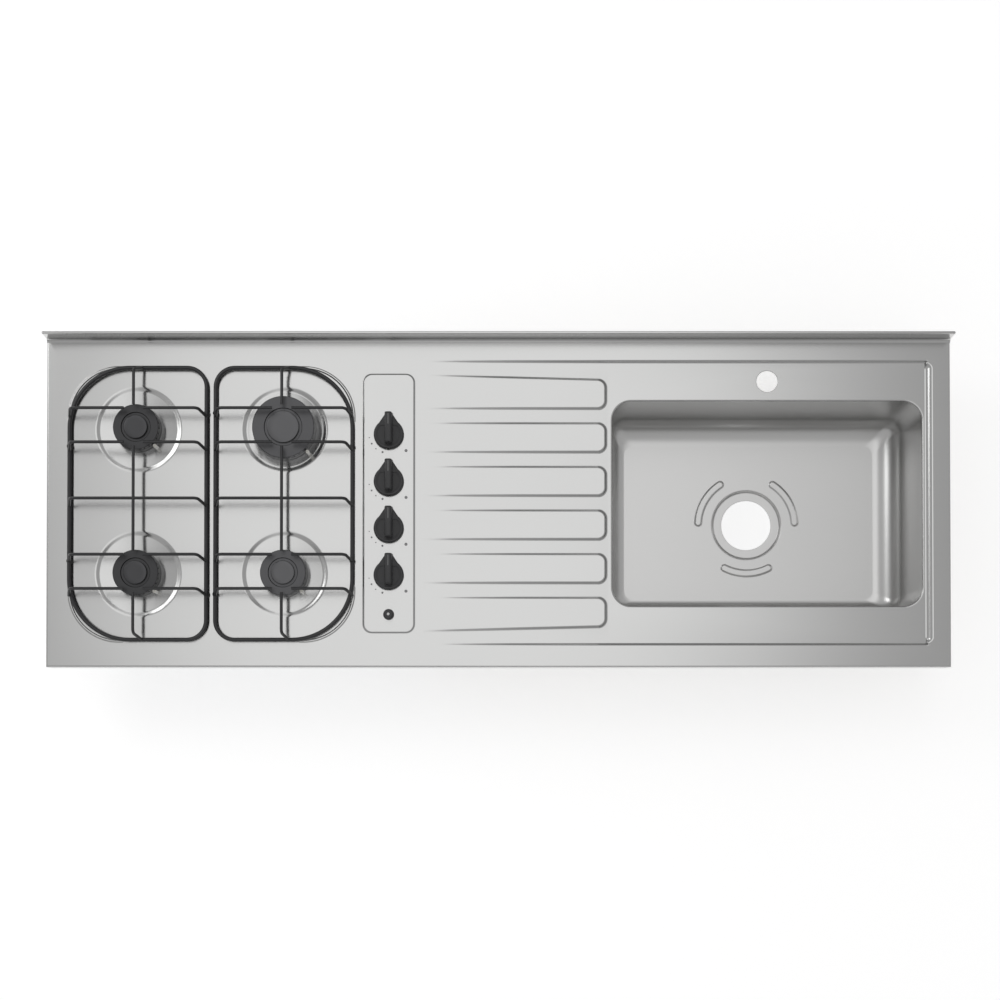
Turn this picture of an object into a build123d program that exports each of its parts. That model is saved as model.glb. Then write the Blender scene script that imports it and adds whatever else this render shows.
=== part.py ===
from build123d import *
import math
import os

# A fitted kitchen worktop: one pressed stainless sheet with an upstand, a four-burner gas hob under two wire
# grates, a raised control panel, a drainer and a sink. Millimetres. X runs right along the front, Y runs to
# the back and Z is up. Z = 0 is the plane that seats on a cabinet, under the folded lip, and the origin is
# its centre.

# Worktop sheet
WORKTOP_LENGTH = 1500.0
WORKTOP_DEPTH = 550.0
APRON_HEIGHT = 40.0
SHEET = 1.0
LIP_WIDTH = 15.0
UPSTAND_HEIGHT = 42.0
UPSTAND_THICKNESS = 5.0
COVE_RADIUS = 6.0
FRONT_EDGE_RADIUS = 3.0
EDGE_ZONE = 20.0

# Battens in the apron
RAIL_WIDTH = 24.0
END_RAIL_WIDTH = 40.0
CROSS_RAIL_WIDTH = 18.0
RAIL_CLEARANCE = 0.5
FIXING_HOLE_R = 2.25
FIXING_HOLE_DEPTH = 22.0
FIXING_INSET_X = 21.0
FIXING_SPACING_Y = 400.0

# Hob layout, from the left end and from the worktop's centre line
HOB_CENTRE_FROM_END = 274.0
HOB_CENTRE_Y = -0.5
BURNER_PITCH_X = 242.5
BURNER_PITCH_Y = 240.0
WELL_R = 72.0
WELL_FLOOR_R = 62.0
WELL_DEPTH = 3.0

# Burners
SMALL_SKIRT_R = 38.5
SMALL_CROWN_R = 37.5
SMALL_CAP_R = 19.5
LARGE_SKIRT_R = 52.0
LARGE_CROWN_R = 51.0
LARGE_CAP_R = 26.5
CUP_FLANGE = 3.0
CUP_SHOULDER = 6.0
CUP_DEPTH = 27.0
CUP_WALL = 3.0
CUP_HOLE_CLEARANCE = 0.5
CROWN_HEIGHT = 28.0
CROWN_WALL = 3.5
CROWN_ROOF = 4.0
PORT_WIDTH = 2.2
PORT_PITCH = 8.5
PORT_LENGTH = 4.2
PORT_SILL = 17.0
PORT_ROOF = 2.0
CAP_THICKNESS = 2.8
CAP_EDGE_RADIUS = 1.0
CAP_STEM_R = 7.0
CAP_STEM_LENGTH = 6.0
CAP_STEM_CLEARANCE = 0.08
GROOVE_WIDTH = 4.5
GROOVE_DEPTH = 2.0
GROOVE_UNDER_CAP = 1.0
SEAT_GAP = 0.2
INJECTOR_R = 5.0
INJECTOR_LENGTH = 12.0
INJECTOR_BORE_R = 1.0
INJECTOR_STUB = 6.0

# Spark electrodes
ELECTRODE_R = 3.0
ELECTRODE_GAP = 3.5
ELECTRODE_SHOULDER_R = 4.5
ELECTRODE_SHOULDER = 3.0
ELECTRODE_ABOVE = 22.0
ELECTRODE_BELOW = 36.0
ELECTRODE_HOLE_CLEARANCE = 0.3
ELECTRODE_TIP_R = 1.0
ELECTRODE_TIP = 4.0
ELECTRODE_BEARING = -45.0

# Grates
GRATE_WIDTH = 233.0
GRATE_DEPTH = 457.0
GRATE_SPACING = 8.5
GRATE_CENTRE_Y = -4.7
GRATE_ROD_R = 3.25
GRATE_ROD_HEIGHT = 10.0
GRATE_OUTER_CORNER = 100.0
GRATE_INNER_CORNER = 32.0
BAR_R = 2.5
BAR_HEIGHT = 48.0
BAR_BEND = 9.0
LEG_LEAN = 9.0
LEG_SIDE = 8.0
FINGER_OFFSET = 28.0
FINGER_TIP = 16.0
LENGTHWISE_TIP = 34.0
FOOT_R = 4.5
OUTER_FOOT_SPACING = 190.0
INNER_FOOT_SPACING = 300.0
RIB_OFFSET = 2.0
RIB_CORNER_LESS = 17.0
RIB_HEIGHT = 1.6
RIB_ROOT = 0.25
RIB_BASE = 6.0
RIB_CREST = 2.6
RIB_TAIL = 6.0

# Control panel, knobs and valves
PANEL_FROM_HOB = 294.0
PANEL_WIDTH = 83.0
PANEL_END_MARGIN = 60.0
PANEL_CENTRE_Y = -3.2
PANEL_RAISE = 2.0
PANEL_CORNER = 16.0
PANEL_SLANT = 45.0
KNOB_COUNT = 4
KNOB_PITCH = 77.8
KNOB_ROW_CENTRE_Y = -6.0
KNOB_GAP = 4.6
KNOB_SKIRT_R = 25.0
KNOB_SKIRT = 6.0
KNOB_DRAFT = 12.0
GRIP_WIDTH = 14.0
GRIP_FRONT = 36.0
GRIP_BACK = 17.0
GRIP_HEIGHT = 16.0
GRIP_CORNER = 4.0
GRIP_DRAFT = 5.0
NOSE_ROOT_WIDTH = 40.0
NOSE_ROOT = 13.0
SPINDLE_R = 4.0
SPINDLE_HOLE_R = 5.2
SPINDLE_IN_KNOB = 15.0
SPINDLE_FLAT = 2.8
SPINDLE_COLLAR = 3.0
TANG_R = 3.0
TANG_LENGTH = 20.0
VALVE_WIDTH = 26.0
VALVE_BLOCK_HEIGHT = 32.0
VALVE_NECK_R = 12.0
VALVE_BORE_R = 8.3
PLUG_TOP_R = 8.0
PLUG_FOOT_R = 6.0
PLUG_HEIGHT = 24.0
PLUG_SEAT = 8.0
PLUG_SOCKET_DEPTH = 20.0
PLUG_PORT_R = 2.0
RUNNING_CLEARANCE = 0.06
GAS_WAY_R = 3.0
OUTLET_R = 6.0
OUTLET_LENGTH = 7.0
OUTLET_HEIGHT = 20.0

# Manifold, inlet and pipes
MANIFOLD_R = 8.0
MANIFOLD_WALL = 1.5
MANIFOLD_Z = -10.0
MANIFOLD_TAIL = 24.0
VALVE_SADDLE = 4.0
INLET_FROM_TRAY = 61.8
INLET_BODY_R = 13.0
INLET_BODY_HALF = 13.0
INLET_SOCKET = 9.0
SPIGOT_R = 10.5
SPIGOT_LENGTH = 38.0
SPIGOT_BORE_R = 6.0
PIPE_R = 4.0
PIPE_WALL = 1.0
PIPE_BEND = 11.0
PIPE_LEVEL = -16.0
PIPE_LEAD = 45.0
PIPE_DIP = 60.0
PIPE_LANE_Y = 40.0
PIPE_TURN_X = 38.0

# Hob tray and its screws
TRAY_FLOOR_Z = -30.0
TRAY_FLANGE_OVERLAP = 13.0
TRAY_SIDE_OVERLAP = 9.0
TRAY_SIDE_MARGIN = 8.0
INLET_HOLE_CLEARANCE = 1.5
SCREW_R = 1.8
SCREW_LENGTH = 14.0
SCREW_HEAD_R = 4.0
SCREW_HEAD = 2.0
SCREW_SPACING_Y = 300.0

# Igniter button, spark module and leads
IGNITER_FROM_PANEL_END = 30.2
COLLAR_R = 9.0
COLLAR_HEIGHT = 4.0
COLLAR_BODY_R = 6.8
COLLAR_DEPTH = 33.0
COLLAR_FLOOR = 2.0
COLLAR_HOLE_CLEARANCE = 0.2
BUTTON_R = 7.5
BUTTON_HEIGHT = 7.0
BUTTON_GAP = 4.4
BUTTON_EDGE_RADIUS = 1.5
BUTTON_STEM_R = 5.0
BUTTON_STEM_BELOW = 18.0
MODULE_LENGTH = 60.0
MODULE_WIDTH = 36.0
MODULE_HEIGHT = 18.0
MODULE_CORNER = 3.0
MODULE_FROM_HOB = 174.0
MODULE_FROM_TRAY = 6.0
LEAD_R = 1.2
LEAD_BEND = 10.0
LEAD_LIFT = 5.0
LEAD_LANE = 9.0
LEAD_PASS = 26.0

# Drainer and sink
SINK_LENGTH = 518.0
SINK_SIDE_LAND = 64.5
SINK_CORNER = 32.0
SINK_FROM_RIGHT = 44.8
SINK_CENTRE_Y = -3.0
SINK_DEPTH = 172.0
SINK_DRAFT = 3.0
SINK_FLOOR_RADIUS = 40.0
SINK_FLANGE = 11.0
POCKET_DEPTH = 4.5
POCKET_RIGHT_LAND = 16.0
POCKET_RIGHT_WALL = 8.0
POCKET_SIDE_MARGIN = 38.5
POCKET_CENTRE_Y = -1.5
POCKET_CORNER = 13.0
DRAINER_FROM_PANEL = 25.0
PAD_COUNT = 6
PAD_SIDE_LAND = 19.0
PAD_WIDTH = 52.5
PAD_ROOT = 1.0
PAD_CENTRE_Y = -2.5
PAD_CORNER = 13.0
PAD_END_LAND = 6.5
PAD_FLARE = 7.5
PAD_DROP = 0.2
PAD_DRAFT = 40.0
DRAIN_OFFSET_X = -13.4
DRAIN_OFFSET_Y = -16.0
DRAIN_R = 44.5
RECESS_R = 62.0
RECESS_DEPTH = 5.0
ARC_COUNT = 3
ARC_INNER_R = 75.0
ARC_OUTER_R = 88.0
ARC_SWEEP = 60.0
ARC_FIRST = 30.0
ARC_RAISE = 2.0
TAP_HOLE_R = 17.5
TAP_FROM_RIM = 31.5

# How far a cutting solid reaches past the face that it opens, how near counts as lying on a face, and the
# least rise of an edge that counts as a standing corner
OVERCUT = 5.0
NEAR = 0.01
STANDING = 0.2

# Places worked out from the sizes above
LEFT = -WORKTOP_LENGTH / 2
RIGHT = WORKTOP_LENGTH / 2
FRONT = -WORKTOP_DEPTH / 2
BACK = WORKTOP_DEPTH / 2
TOP = APRON_HEIGHT
FOLD_Z = TOP - FRONT_EDGE_RADIUS
COVE_START = BACK - UPSTAND_THICKNESS - COVE_RADIUS

HOB_X = LEFT + HOB_CENTRE_FROM_END
PANEL_X = HOB_X + PANEL_FROM_HOB
PANEL_LENGTH = WORKTOP_DEPTH - 2 * PANEL_END_MARGIN
PANEL_TOP = TOP + PANEL_RAISE
PANEL_UNDER = PANEL_TOP - SHEET
WELL_TOP = TOP - WELL_DEPTH
WELL_UNDER = WELL_TOP - SHEET
CUP_TOP = WELL_TOP + CUP_FLANGE
CUP_BOTTOM = WELL_TOP - CUP_DEPTH
CROWN_TOP = CUP_TOP + CROWN_HEIGHT
CAP_BOTTOM = CROWN_TOP + SEAT_GAP
ROD_Z = TOP + GRATE_ROD_HEIGHT
BAR_Z = TOP + BAR_HEIGHT

SINK_X = RIGHT - SINK_FROM_RIGHT - SINK_LENGTH / 2
POCKET_WIDTH = WORKTOP_DEPTH - 2 * POCKET_SIDE_MARGIN
SINK_WIDTH = POCKET_WIDTH - 2 * SINK_SIDE_LAND
PAD_PITCH = (POCKET_WIDTH - 2 * PAD_SIDE_LAND) / PAD_COUNT
POCKET_FLOOR = TOP - POCKET_DEPTH
POCKET_RIGHT = SINK_X + SINK_LENGTH / 2 + POCKET_RIGHT_LAND
PAD_END_X = SINK_X - SINK_LENGTH / 2 - PAD_END_LAND
DRAINER_LEFT = PANEL_X + PANEL_WIDTH / 2 + DRAINER_FROM_PANEL
BOWL_TOP = POCKET_FLOOR - SHEET
BOWL_FLOOR = BOWL_TOP - SINK_DEPTH
DRAIN_X = SINK_X + DRAIN_OFFSET_X
DRAIN_Y = SINK_CENTRE_Y + DRAIN_OFFSET_Y
TAP_Y = SINK_CENTRE_Y + SINK_WIDTH / 2 + TAP_FROM_RIM

RAIL_TOP = BOWL_TOP - SHEET - RAIL_CLEARANCE
RAIL_FRONT_FACE = FRONT + SHEET + RAIL_WIDTH
RAIL_BACK_FACE = BACK - SHEET - RAIL_WIDTH
LEFT_RAIL_FACE = LEFT + SHEET + END_RAIL_WIDTH
RIGHT_RAIL_FACE = RIGHT - SHEET - END_RAIL_WIDTH
HOB_RAIL_X = DRAINER_LEFT - DRAINER_FROM_PANEL / 2
PAN_FRONT = RAIL_FRONT_FACE + TRAY_SIDE_MARGIN
PAN_BACK = RAIL_BACK_FACE - TRAY_SIDE_MARGIN

KNOB_YS = [KNOB_ROW_CENTRE_Y + KNOB_PITCH * ((KNOB_COUNT - 1) / 2 - i) for i in range(KNOB_COUNT)]
KNOB_BOTTOM = PANEL_TOP + KNOB_GAP
SPINDLE_TOP = KNOB_BOTTOM + SPINDLE_IN_KNOB
IGNITER_Y = PANEL_CENTRE_Y - PANEL_LENGTH / 2 + IGNITER_FROM_PANEL_END
VALVE_BOTTOM = MANIFOLD_Z + MANIFOLD_R - VALVE_SADDLE
PLUG_BOTTOM = VALVE_BOTTOM + PLUG_SEAT
PLUG_TOP = PLUG_BOTTOM + PLUG_HEIGHT
OUTLET_Z = VALVE_BOTTOM + OUTLET_HEIGHT
INLET_Y = PAN_BACK - INLET_FROM_TRAY
TRAY_TOP_OF_FLOOR = TRAY_FLOOR_Z + SHEET

# Burners as place, skirt, crown and cap radius: back left, back right, front left, front right
SMALL = (SMALL_SKIRT_R, SMALL_CROWN_R, SMALL_CAP_R)
LARGE = (LARGE_SKIRT_R, LARGE_CROWN_R, LARGE_CAP_R)
BURNER_LEFT = HOB_X - BURNER_PITCH_X / 2
BURNER_RIGHT = HOB_X + BURNER_PITCH_X / 2
BURNER_BACK = HOB_CENTRE_Y + BURNER_PITCH_Y / 2
BURNER_FRONT = HOB_CENTRE_Y - BURNER_PITCH_Y / 2
BURNERS = [
    (BURNER_LEFT, BURNER_BACK, SMALL),
    (BURNER_RIGHT, BURNER_BACK, LARGE),
    (BURNER_LEFT, BURNER_FRONT, SMALL),
    (BURNER_RIGHT, BURNER_FRONT, SMALL),
]


def block(x0, x1, y0, y1, z0, z1):
    """A box between two corners."""
    return Pos((x0 + x1) / 2, (y0 + y1) / 2, (z0 + z1) / 2) * Box(x1 - x0, y1 - y0, z1 - z0)


def drum(x, y, radius, z0, z1):
    """An upright cylinder between two heights."""
    return Pos(x, y, (z0 + z1) / 2) * Cylinder(radius, z1 - z0)


def frustum(x, y, radius_low, radius_high, z0, z1):
    """An upright cone between two heights."""
    return Pos(x, y, (z0 + z1) / 2) * Cone(radius_low, radius_high, z1 - z0)


def rod(path, radius):
    """A round rod along a path."""
    return sweep(Plane(path @ 0, z_dir=path % 0) * Circle(radius), path)


def tube(path, radius, wall):
    """A round tube along a path."""
    return rod(path, radius) - rod(path, radius - wall)


def group(solids):
    """Separate solids that share one node."""
    return Compound([solid for shape in solids for solid in shape.solids()])


def save(shape, name):
    """Write one node."""
    export_step(shape, f"parts/{name}.step")


def electrode_place(burner):
    """Where a burner's electrode stands."""
    x, y, (skirt_r, _, _) = burner
    reach = skirt_r + ELECTRODE_GAP
    bearing = math.radians(ELECTRODE_BEARING)
    return x + reach * math.cos(bearing), y + reach * math.sin(bearing)


# Worktop sheet


def folded_blank(inset):
    """The worktop's slab and upstand, with every face moved in by the inset."""
    upstand_front = BACK - UPSTAND_THICKNESS + inset
    floor = -OVERCUT if inset else 0.0
    slab = block(LEFT + inset, RIGHT - inset, FRONT + inset, BACK - inset, floor, TOP - inset)
    upstand = block(
        LEFT + inset, RIGHT - inset, upstand_front, BACK - inset, floor, TOP + UPSTAND_HEIGHT - inset
    )
    blank = slab + upstand
    long_edges = blank.edges().filter_by(Axis.X)
    cove = [e for e in long_edges if abs(e.center().Y - upstand_front) < NEAR and e.center().Z < TOP + NEAR]
    blank = fillet(cove, COVE_RADIUS + inset)
    long_edges = blank.edges().filter_by(Axis.X)
    front = FRONT + inset + NEAR
    top = TOP - inset - NEAR
    nose = [edge for edge in long_edges if edge.center().Y < front and edge.center().Z > top]
    return fillet(nose, FRONT_EDGE_RADIUS - inset)


def pocket():
    """The sunk area of the drainer and sink: a sloping drainer floor, a level one and slanted walls."""
    above = TOP + OVERCUT
    slope = POCKET_RIGHT_WALL / POCKET_DEPTH
    side = Polyline(
        (DRAINER_LEFT, TOP),
        (PAD_END_X, POCKET_FLOOR),
        (POCKET_RIGHT - POCKET_RIGHT_WALL, POCKET_FLOOR),
        (POCKET_RIGHT + OVERCUT * slope, above),
        (DRAINER_LEFT, above),
        close=True,
    )
    run = extrude(Plane.XZ * make_face(side), amount=WORKTOP_DEPTH / 2, both=True)
    low = POCKET_CENTRE_Y - POCKET_WIDTH / 2
    high = POCKET_CENTRE_Y + POCKET_WIDTH / 2
    below = POCKET_DEPTH + OVERCUT
    cross = Polyline(
        (low - OVERCUT, above),
        (high + OVERCUT, above),
        (high - below, TOP - below),
        (low + below, TOP - below),
        close=True,
    )
    trough = extrude(Plane.YZ * make_face(cross), amount=WORKTOP_LENGTH / 2, both=True)
    sunk = run & trough
    corners = [
        e
        for e in sunk.edges()
        if e.center().X > POCKET_RIGHT - POCKET_RIGHT_WALL and abs(e.tangent_at(0.5).Z) > STANDING
    ]
    return fillet(corners, POCKET_CORNER) - drainer_pads()


def drainer_pads():
    """The raised pads that are left standing in the drainer. The outermost two flare to the left."""
    pads = []
    for index in range(PAD_COUNT):
        y = PAD_CENTRE_Y + PAD_PITCH * (index - (PAD_COUNT - 1) / 2)
        flare_low = PAD_FLARE if index == 0 else 0.0
        flare_high = PAD_FLARE if index == PAD_COUNT - 1 else 0.0
        outline = FilletPolyline(
            (DRAINER_LEFT - OVERCUT, y - PAD_WIDTH / 2 - flare_low),
            (PAD_END_X, y - PAD_WIDTH / 2),
            (PAD_END_X, y + PAD_WIDTH / 2),
            (DRAINER_LEFT - OVERCUT, y + PAD_WIDTH / 2 + flare_high),
            radius=[0.0, PAD_CORNER, PAD_CORNER, 0.0],
            close=True,
        )
        rise = PAD_ROOT + POCKET_DEPTH - PAD_DROP
        root = Pos(0, 0, POCKET_FLOOR - PAD_ROOT)
        pads.append(root * extrude(make_face(outline), amount=rise, taper=PAD_DRAFT))
    return pads


def burner_wells():
    """The shallow dishes that the burners stand in."""
    spread = (WELL_R - WELL_FLOOR_R) / WELL_DEPTH
    return [
        frustum(x, y, WELL_FLOOR_R, WELL_R + OVERCUT * spread, WELL_TOP, TOP + OVERCUT) for x, y, _ in BURNERS
    ]


def control_plateau():
    """The raised control panel with its slanted walls."""
    outline = RectangleRounded(PANEL_WIDTH, PANEL_LENGTH, PANEL_CORNER)
    return Pos(PANEL_X, PANEL_CENTRE_Y, TOP) * extrude(outline, amount=PANEL_RAISE, taper=PANEL_SLANT)


def grate_rib(side, end):
    """The pressed rib outside one outer corner of a grate, which keeps the grate from sliding."""
    _, outer, back, front = grate_edges(side)
    x = outer + side * RIB_OFFSET
    y = (back if end > 0 else front) + end * RIB_OFFSET
    radius = GRATE_OUTER_CORNER - RIB_CORNER_LESS
    run = radius + RIB_TAIL
    path = FilletPolyline((x - side * run, y, TOP), (x, y, TOP), (x, y - end * run, TOP), radius=radius)
    ridge = Polyline(
        (-RIB_ROOT, -RIB_BASE / 2), (-RIB_ROOT, RIB_BASE / 2), (0, RIB_BASE / 2), (RIB_HEIGHT, RIB_CREST / 2),
        (RIB_HEIGHT, -RIB_CREST / 2), (0, -RIB_BASE / 2), close=True,
    )
    section = Plane(path @ 0, x_dir=(0, 0, 1), z_dir=path % 0) * make_face(ridge)
    tips = [path @ 0, path @ 1]
    ends = [frustum(tip.X, tip.Y, RIB_BASE / 2, RIB_CREST / 2, TOP, TOP + RIB_HEIGHT) for tip in tips]
    return sweep(section, path) + ends


def pressed(blank, drop):
    """Press every form into a blank whose face lies the given drop under the worktop's face."""
    down = Pos(0, 0, -drop)
    ribs = [grate_rib(side, end) for side in (-1, 1) for end in (-1, 1)]
    raised = [form.moved(down) for form in [control_plateau(), *ribs]]
    sunk = [form.moved(down) for form in [pocket(), *burner_wells()]]
    return blank + raised - sunk


def sheet_holes():
    """Cutters for the sink, tap, burners, electrodes, spindles and igniter."""
    deep = TOP - OVERCUT - WELL_DEPTH - POCKET_DEPTH
    high = PANEL_TOP + OVERCUT
    sink = extrude(RectangleRounded(SINK_LENGTH, SINK_WIDTH, SINK_CORNER), amount=high - deep)
    holes = [Pos(SINK_X, SINK_CENTRE_Y, deep) * sink, drum(SINK_X, TAP_Y, TAP_HOLE_R, deep, high)]
    for burner in BURNERS:
        x, y, (skirt_r, _, _) = burner
        holes.append(drum(x, y, skirt_r - CUP_SHOULDER + CUP_HOLE_CLEARANCE, deep, high))
        holes.append(drum(*electrode_place(burner), ELECTRODE_R + ELECTRODE_HOLE_CLEARANCE, deep, high))
    holes += [drum(PANEL_X, y, SPINDLE_HOLE_R, deep, high) for y in KNOB_YS]
    holes.append(drum(PANEL_X, IGNITER_Y, COLLAR_BODY_R + COLLAR_HOLE_CLEARANCE, deep, high))
    return holes


def worktop_skin():
    """The folded and pressed sheet by name: the top, the upstand and the apron with its turned-in lip."""
    lip = block(LEFT, RIGHT, FRONT, BACK, 0, SHEET) - block(
        LEFT + LIP_WIDTH, RIGHT - LIP_WIDTH, FRONT + LIP_WIDTH, BACK - LIP_WIDTH, -OVERCUT, OVERCUT
    )
    shell = pressed(folded_blank(0.0), 0.0) - pressed(folded_blank(SHEET), SHEET)
    skin = shell + lip - sheet_holes()
    below_fold = block(LEFT - OVERCUT, RIGHT + OVERCUT, FRONT - OVERCUT, BACK + OVERCUT, -OVERCUT, FOLD_Z)
    apron_zone = below_fold - block(
        LEFT + EDGE_ZONE, RIGHT - EDGE_ZONE, FRONT + EDGE_ZONE, BACK - EDGE_ZONE, -2 * OVERCUT, TOP
    )
    upstand_zone = block(
        LEFT - OVERCUT, RIGHT + OVERCUT, COVE_START, BACK + OVERCUT, FOLD_Z, TOP + UPSTAND_HEIGHT + OVERCUT
    )
    return {
        "worktop_sheet": skin - apron_zone - upstand_zone,
        "back_upstand": skin & upstand_zone,
        "apron": skin & apron_zone,
    }


# Sink


def bowl_space(grow):
    """The space inside the bowl, or its outer form when grown by the sheet's thickness."""
    outline = RectangleRounded(SINK_LENGTH + 2 * grow, SINK_WIDTH + 2 * grow, SINK_CORNER + grow)
    space = extrude(outline, amount=-(SINK_DEPTH + grow), taper=SINK_DRAFT)
    space = fillet(space.edges().group_by(Axis.Z)[0], SINK_FLOOR_RADIUS + grow)
    space = Pos(SINK_X, SINK_CENTRE_Y, BOWL_TOP) * space
    floor = BOWL_FLOOR - grow
    recess = frustum(DRAIN_X, DRAIN_Y, RECESS_R - RECESS_DEPTH, RECESS_R, floor - RECESS_DEPTH, floor)
    return space + recess - [arc.moved(Pos(0, 0, -grow)) for arc in floor_arcs()]


def floor_arcs():
    """The raised arcs around the drain, with sloping sides and round ends."""
    middle_r = (ARC_INNER_R + ARC_OUTER_R) / 2
    half = (ARC_OUTER_R - ARC_INNER_R) / 2
    crest = half - ARC_RAISE
    profile = Polyline(
        (middle_r - half, 0), (middle_r + half, 0),
        (middle_r + crest, ARC_RAISE), (middle_r - crest, ARC_RAISE),
        close=True,
    )
    ridge = revolve(Plane.XZ * make_face(profile), Axis.Z, revolution_arc=ARC_SWEEP)
    boss = frustum(middle_r, 0, half, crest, 0, ARC_RAISE)
    ridge = ridge + [boss, Rot(0, 0, ARC_SWEEP) * boss]
    place = Pos(DRAIN_X, DRAIN_Y, BOWL_FLOOR)
    turns = [ARC_FIRST - ARC_SWEEP / 2 + index * 360 / ARC_COUNT for index in range(ARC_COUNT)]
    return [ridge.moved(place * Rot(0, 0, turn)) for turn in turns]


def sink():
    """The sink by name: the bowl with its flange and raised arcs, and the dish around the drain hole."""
    flange = RectangleRounded(
        SINK_LENGTH + 2 * SINK_FLANGE, SINK_WIDTH + 2 * SINK_FLANGE, SINK_CORNER + SINK_FLANGE
    )
    rim = Pos(SINK_X, SINK_CENTRE_Y, BOWL_TOP) * extrude(flange, amount=-SHEET)
    drain = drum(DRAIN_X, DRAIN_Y, DRAIN_R, BOWL_FLOOR - RECESS_DEPTH - OVERCUT, BOWL_FLOOR)
    pressing = bowl_space(SHEET) + rim - bowl_space(0.0) - drain
    dish_top = BOWL_FLOOR - RECESS_DEPTH / 2
    dish_zone = drum(DRAIN_X, DRAIN_Y, RECESS_R + OVERCUT, BOWL_FLOOR - RECESS_DEPTH - OVERCUT, dish_top)
    return {"sink_bowl": pressing - dish_zone, "drain_dish": pressing & dish_zone}


# Battens and tray


def rails():
    """The battens by name. The end battens have blind holes for the cabinet's screws."""
    inner_left = LEFT + SHEET
    inner_right = RIGHT - SHEET
    between = (RAIL_FRONT_FACE, RAIL_BACK_FACE)
    half_cross = CROSS_RAIL_WIDTH / 2
    fixing_ys = (-FIXING_SPACING_Y / 2, FIXING_SPACING_Y / 2)
    fixings = [
        drum(x, y, FIXING_HOLE_R, SHEET - OVERCUT, SHEET + FIXING_HOLE_DEPTH)
        for x in (LEFT + FIXING_INSET_X, RIGHT - FIXING_INSET_X)
        for y in fixing_ys
    ]
    screws = tray_screws()
    return {
        "front_rail": block(inner_left, inner_right, FRONT + SHEET, RAIL_FRONT_FACE, SHEET, RAIL_TOP),
        "rear_rail": block(inner_left, inner_right, RAIL_BACK_FACE, BACK - SHEET, SHEET, RAIL_TOP),
        "left_rail": block(inner_left, LEFT_RAIL_FACE, *between, SHEET, RAIL_TOP) - fixings - screws,
        "right_rail": block(RIGHT_RAIL_FACE, inner_right, *between, SHEET, RAIL_TOP) - fixings,
        "hob_rail": block(HOB_RAIL_X - half_cross, HOB_RAIL_X + half_cross, *between, SHEET, RAIL_TOP)
        - screws,
        "centre_rail": block(-half_cross, half_cross, *between, 0, RAIL_TOP),
    }


def tray_screws():
    """Screws up through the tray's flange into the battens beside the hob."""
    screws = []
    for x in (LEFT_RAIL_FACE - TRAY_FLANGE_OVERLAP / 2, HOB_RAIL_X):
        for y in (-SCREW_SPACING_Y / 2, SCREW_SPACING_Y / 2):
            head = drum(x, y, SCREW_HEAD_R, -SCREW_HEAD, 0)
            screws.append(head + drum(x, y, SCREW_R, 0, SCREW_LENGTH))
    return screws


def hob_tray():
    """The pan under the burners, hung by its flange from the battens."""
    left = LEFT_RAIL_FACE - TRAY_FLANGE_OVERLAP
    right = HOB_RAIL_X + CROSS_RAIL_WIDTH / 2
    front = RAIL_FRONT_FACE - TRAY_SIDE_OVERLAP
    back = RAIL_BACK_FACE + TRAY_SIDE_OVERLAP
    pan_left = LEFT_RAIL_FACE + TRAY_SIDE_MARGIN
    pan_right = HOB_RAIL_X - CROSS_RAIL_WIDTH / 2 - SHEET
    body = block(left, right, front, back, 0, SHEET)
    body += block(pan_left, pan_right, PAN_FRONT, PAN_BACK, TRAY_FLOOR_Z, SHEET)
    body -= block(
        pan_left + SHEET, pan_right - SHEET, PAN_FRONT + SHEET, PAN_BACK - SHEET, TRAY_TOP_OF_FLOOR, OVERCUT
    )
    inlet_hole = drum(
        PANEL_X, INLET_Y, SPIGOT_R + INLET_HOLE_CLEARANCE, TRAY_FLOOR_Z - OVERCUT, TRAY_FLOOR_Z + OVERCUT
    )
    return body - inlet_hole - tray_screws()


# Burners


def burner_cup(burner):
    """The cup that stands in the well, with the injector's seat in its floor."""
    x, y, (skirt_r, _, _) = burner
    body_r = skirt_r - CUP_SHOULDER
    cup = drum(x, y, skirt_r, WELL_TOP, CUP_TOP) + drum(x, y, body_r, CUP_BOTTOM, WELL_TOP)
    cup -= drum(x, y, body_r - CUP_WALL, CUP_BOTTOM + CUP_WALL, CUP_TOP + OVERCUT)
    return cup - drum(x, y, INJECTOR_R, CUP_BOTTOM - OVERCUT, CUP_TOP)


def injector(burner):
    """The brass injector in the cup's floor."""
    x, y, _ = burner
    bottom = CUP_BOTTOM - INJECTOR_STUB
    body = drum(x, y, INJECTOR_R, bottom, bottom + INJECTOR_LENGTH)
    return body - drum(x, y, INJECTOR_BORE_R, bottom - OVERCUT, bottom + INJECTOR_LENGTH + OVERCUT)


def burner_crown(burner):
    """The hollow crown with its flame ports, the groove round the cap and the bore for the cap's stem."""
    x, y, (skirt_r, crown_r, cap_r) = burner
    chamber_r = crown_r - CROWN_WALL
    crown = frustum(x, y, skirt_r, crown_r, CUP_TOP, CROWN_TOP)
    crown -= drum(x, y, chamber_r, CUP_TOP - OVERCUT, CROWN_TOP - CROWN_ROOF)
    crown -= drum(x, y, CAP_STEM_R + CAP_STEM_CLEARANCE, CUP_TOP, CROWN_TOP + OVERCUT)
    groove = drum(x, y, cap_r + GROOVE_WIDTH, CROWN_TOP - GROOVE_DEPTH, CROWN_TOP + OVERCUT)
    crown -= groove - drum(x, y, cap_r - GROOVE_UNDER_CAP, CROWN_TOP - GROOVE_DEPTH, CROWN_TOP + OVERCUT)
    count = int(2 * math.pi * crown_r / PORT_PITCH)
    inner = crown_r - PORT_LENGTH
    slot = block(
        inner, skirt_r + OVERCUT, -PORT_WIDTH / 2, PORT_WIDTH / 2, CUP_TOP + PORT_SILL, CROWN_TOP - PORT_ROOF
    )
    return crown - [Pos(x, y, 0) * Rot(0, 0, index * 360 / count) * slot for index in range(count)]


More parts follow.
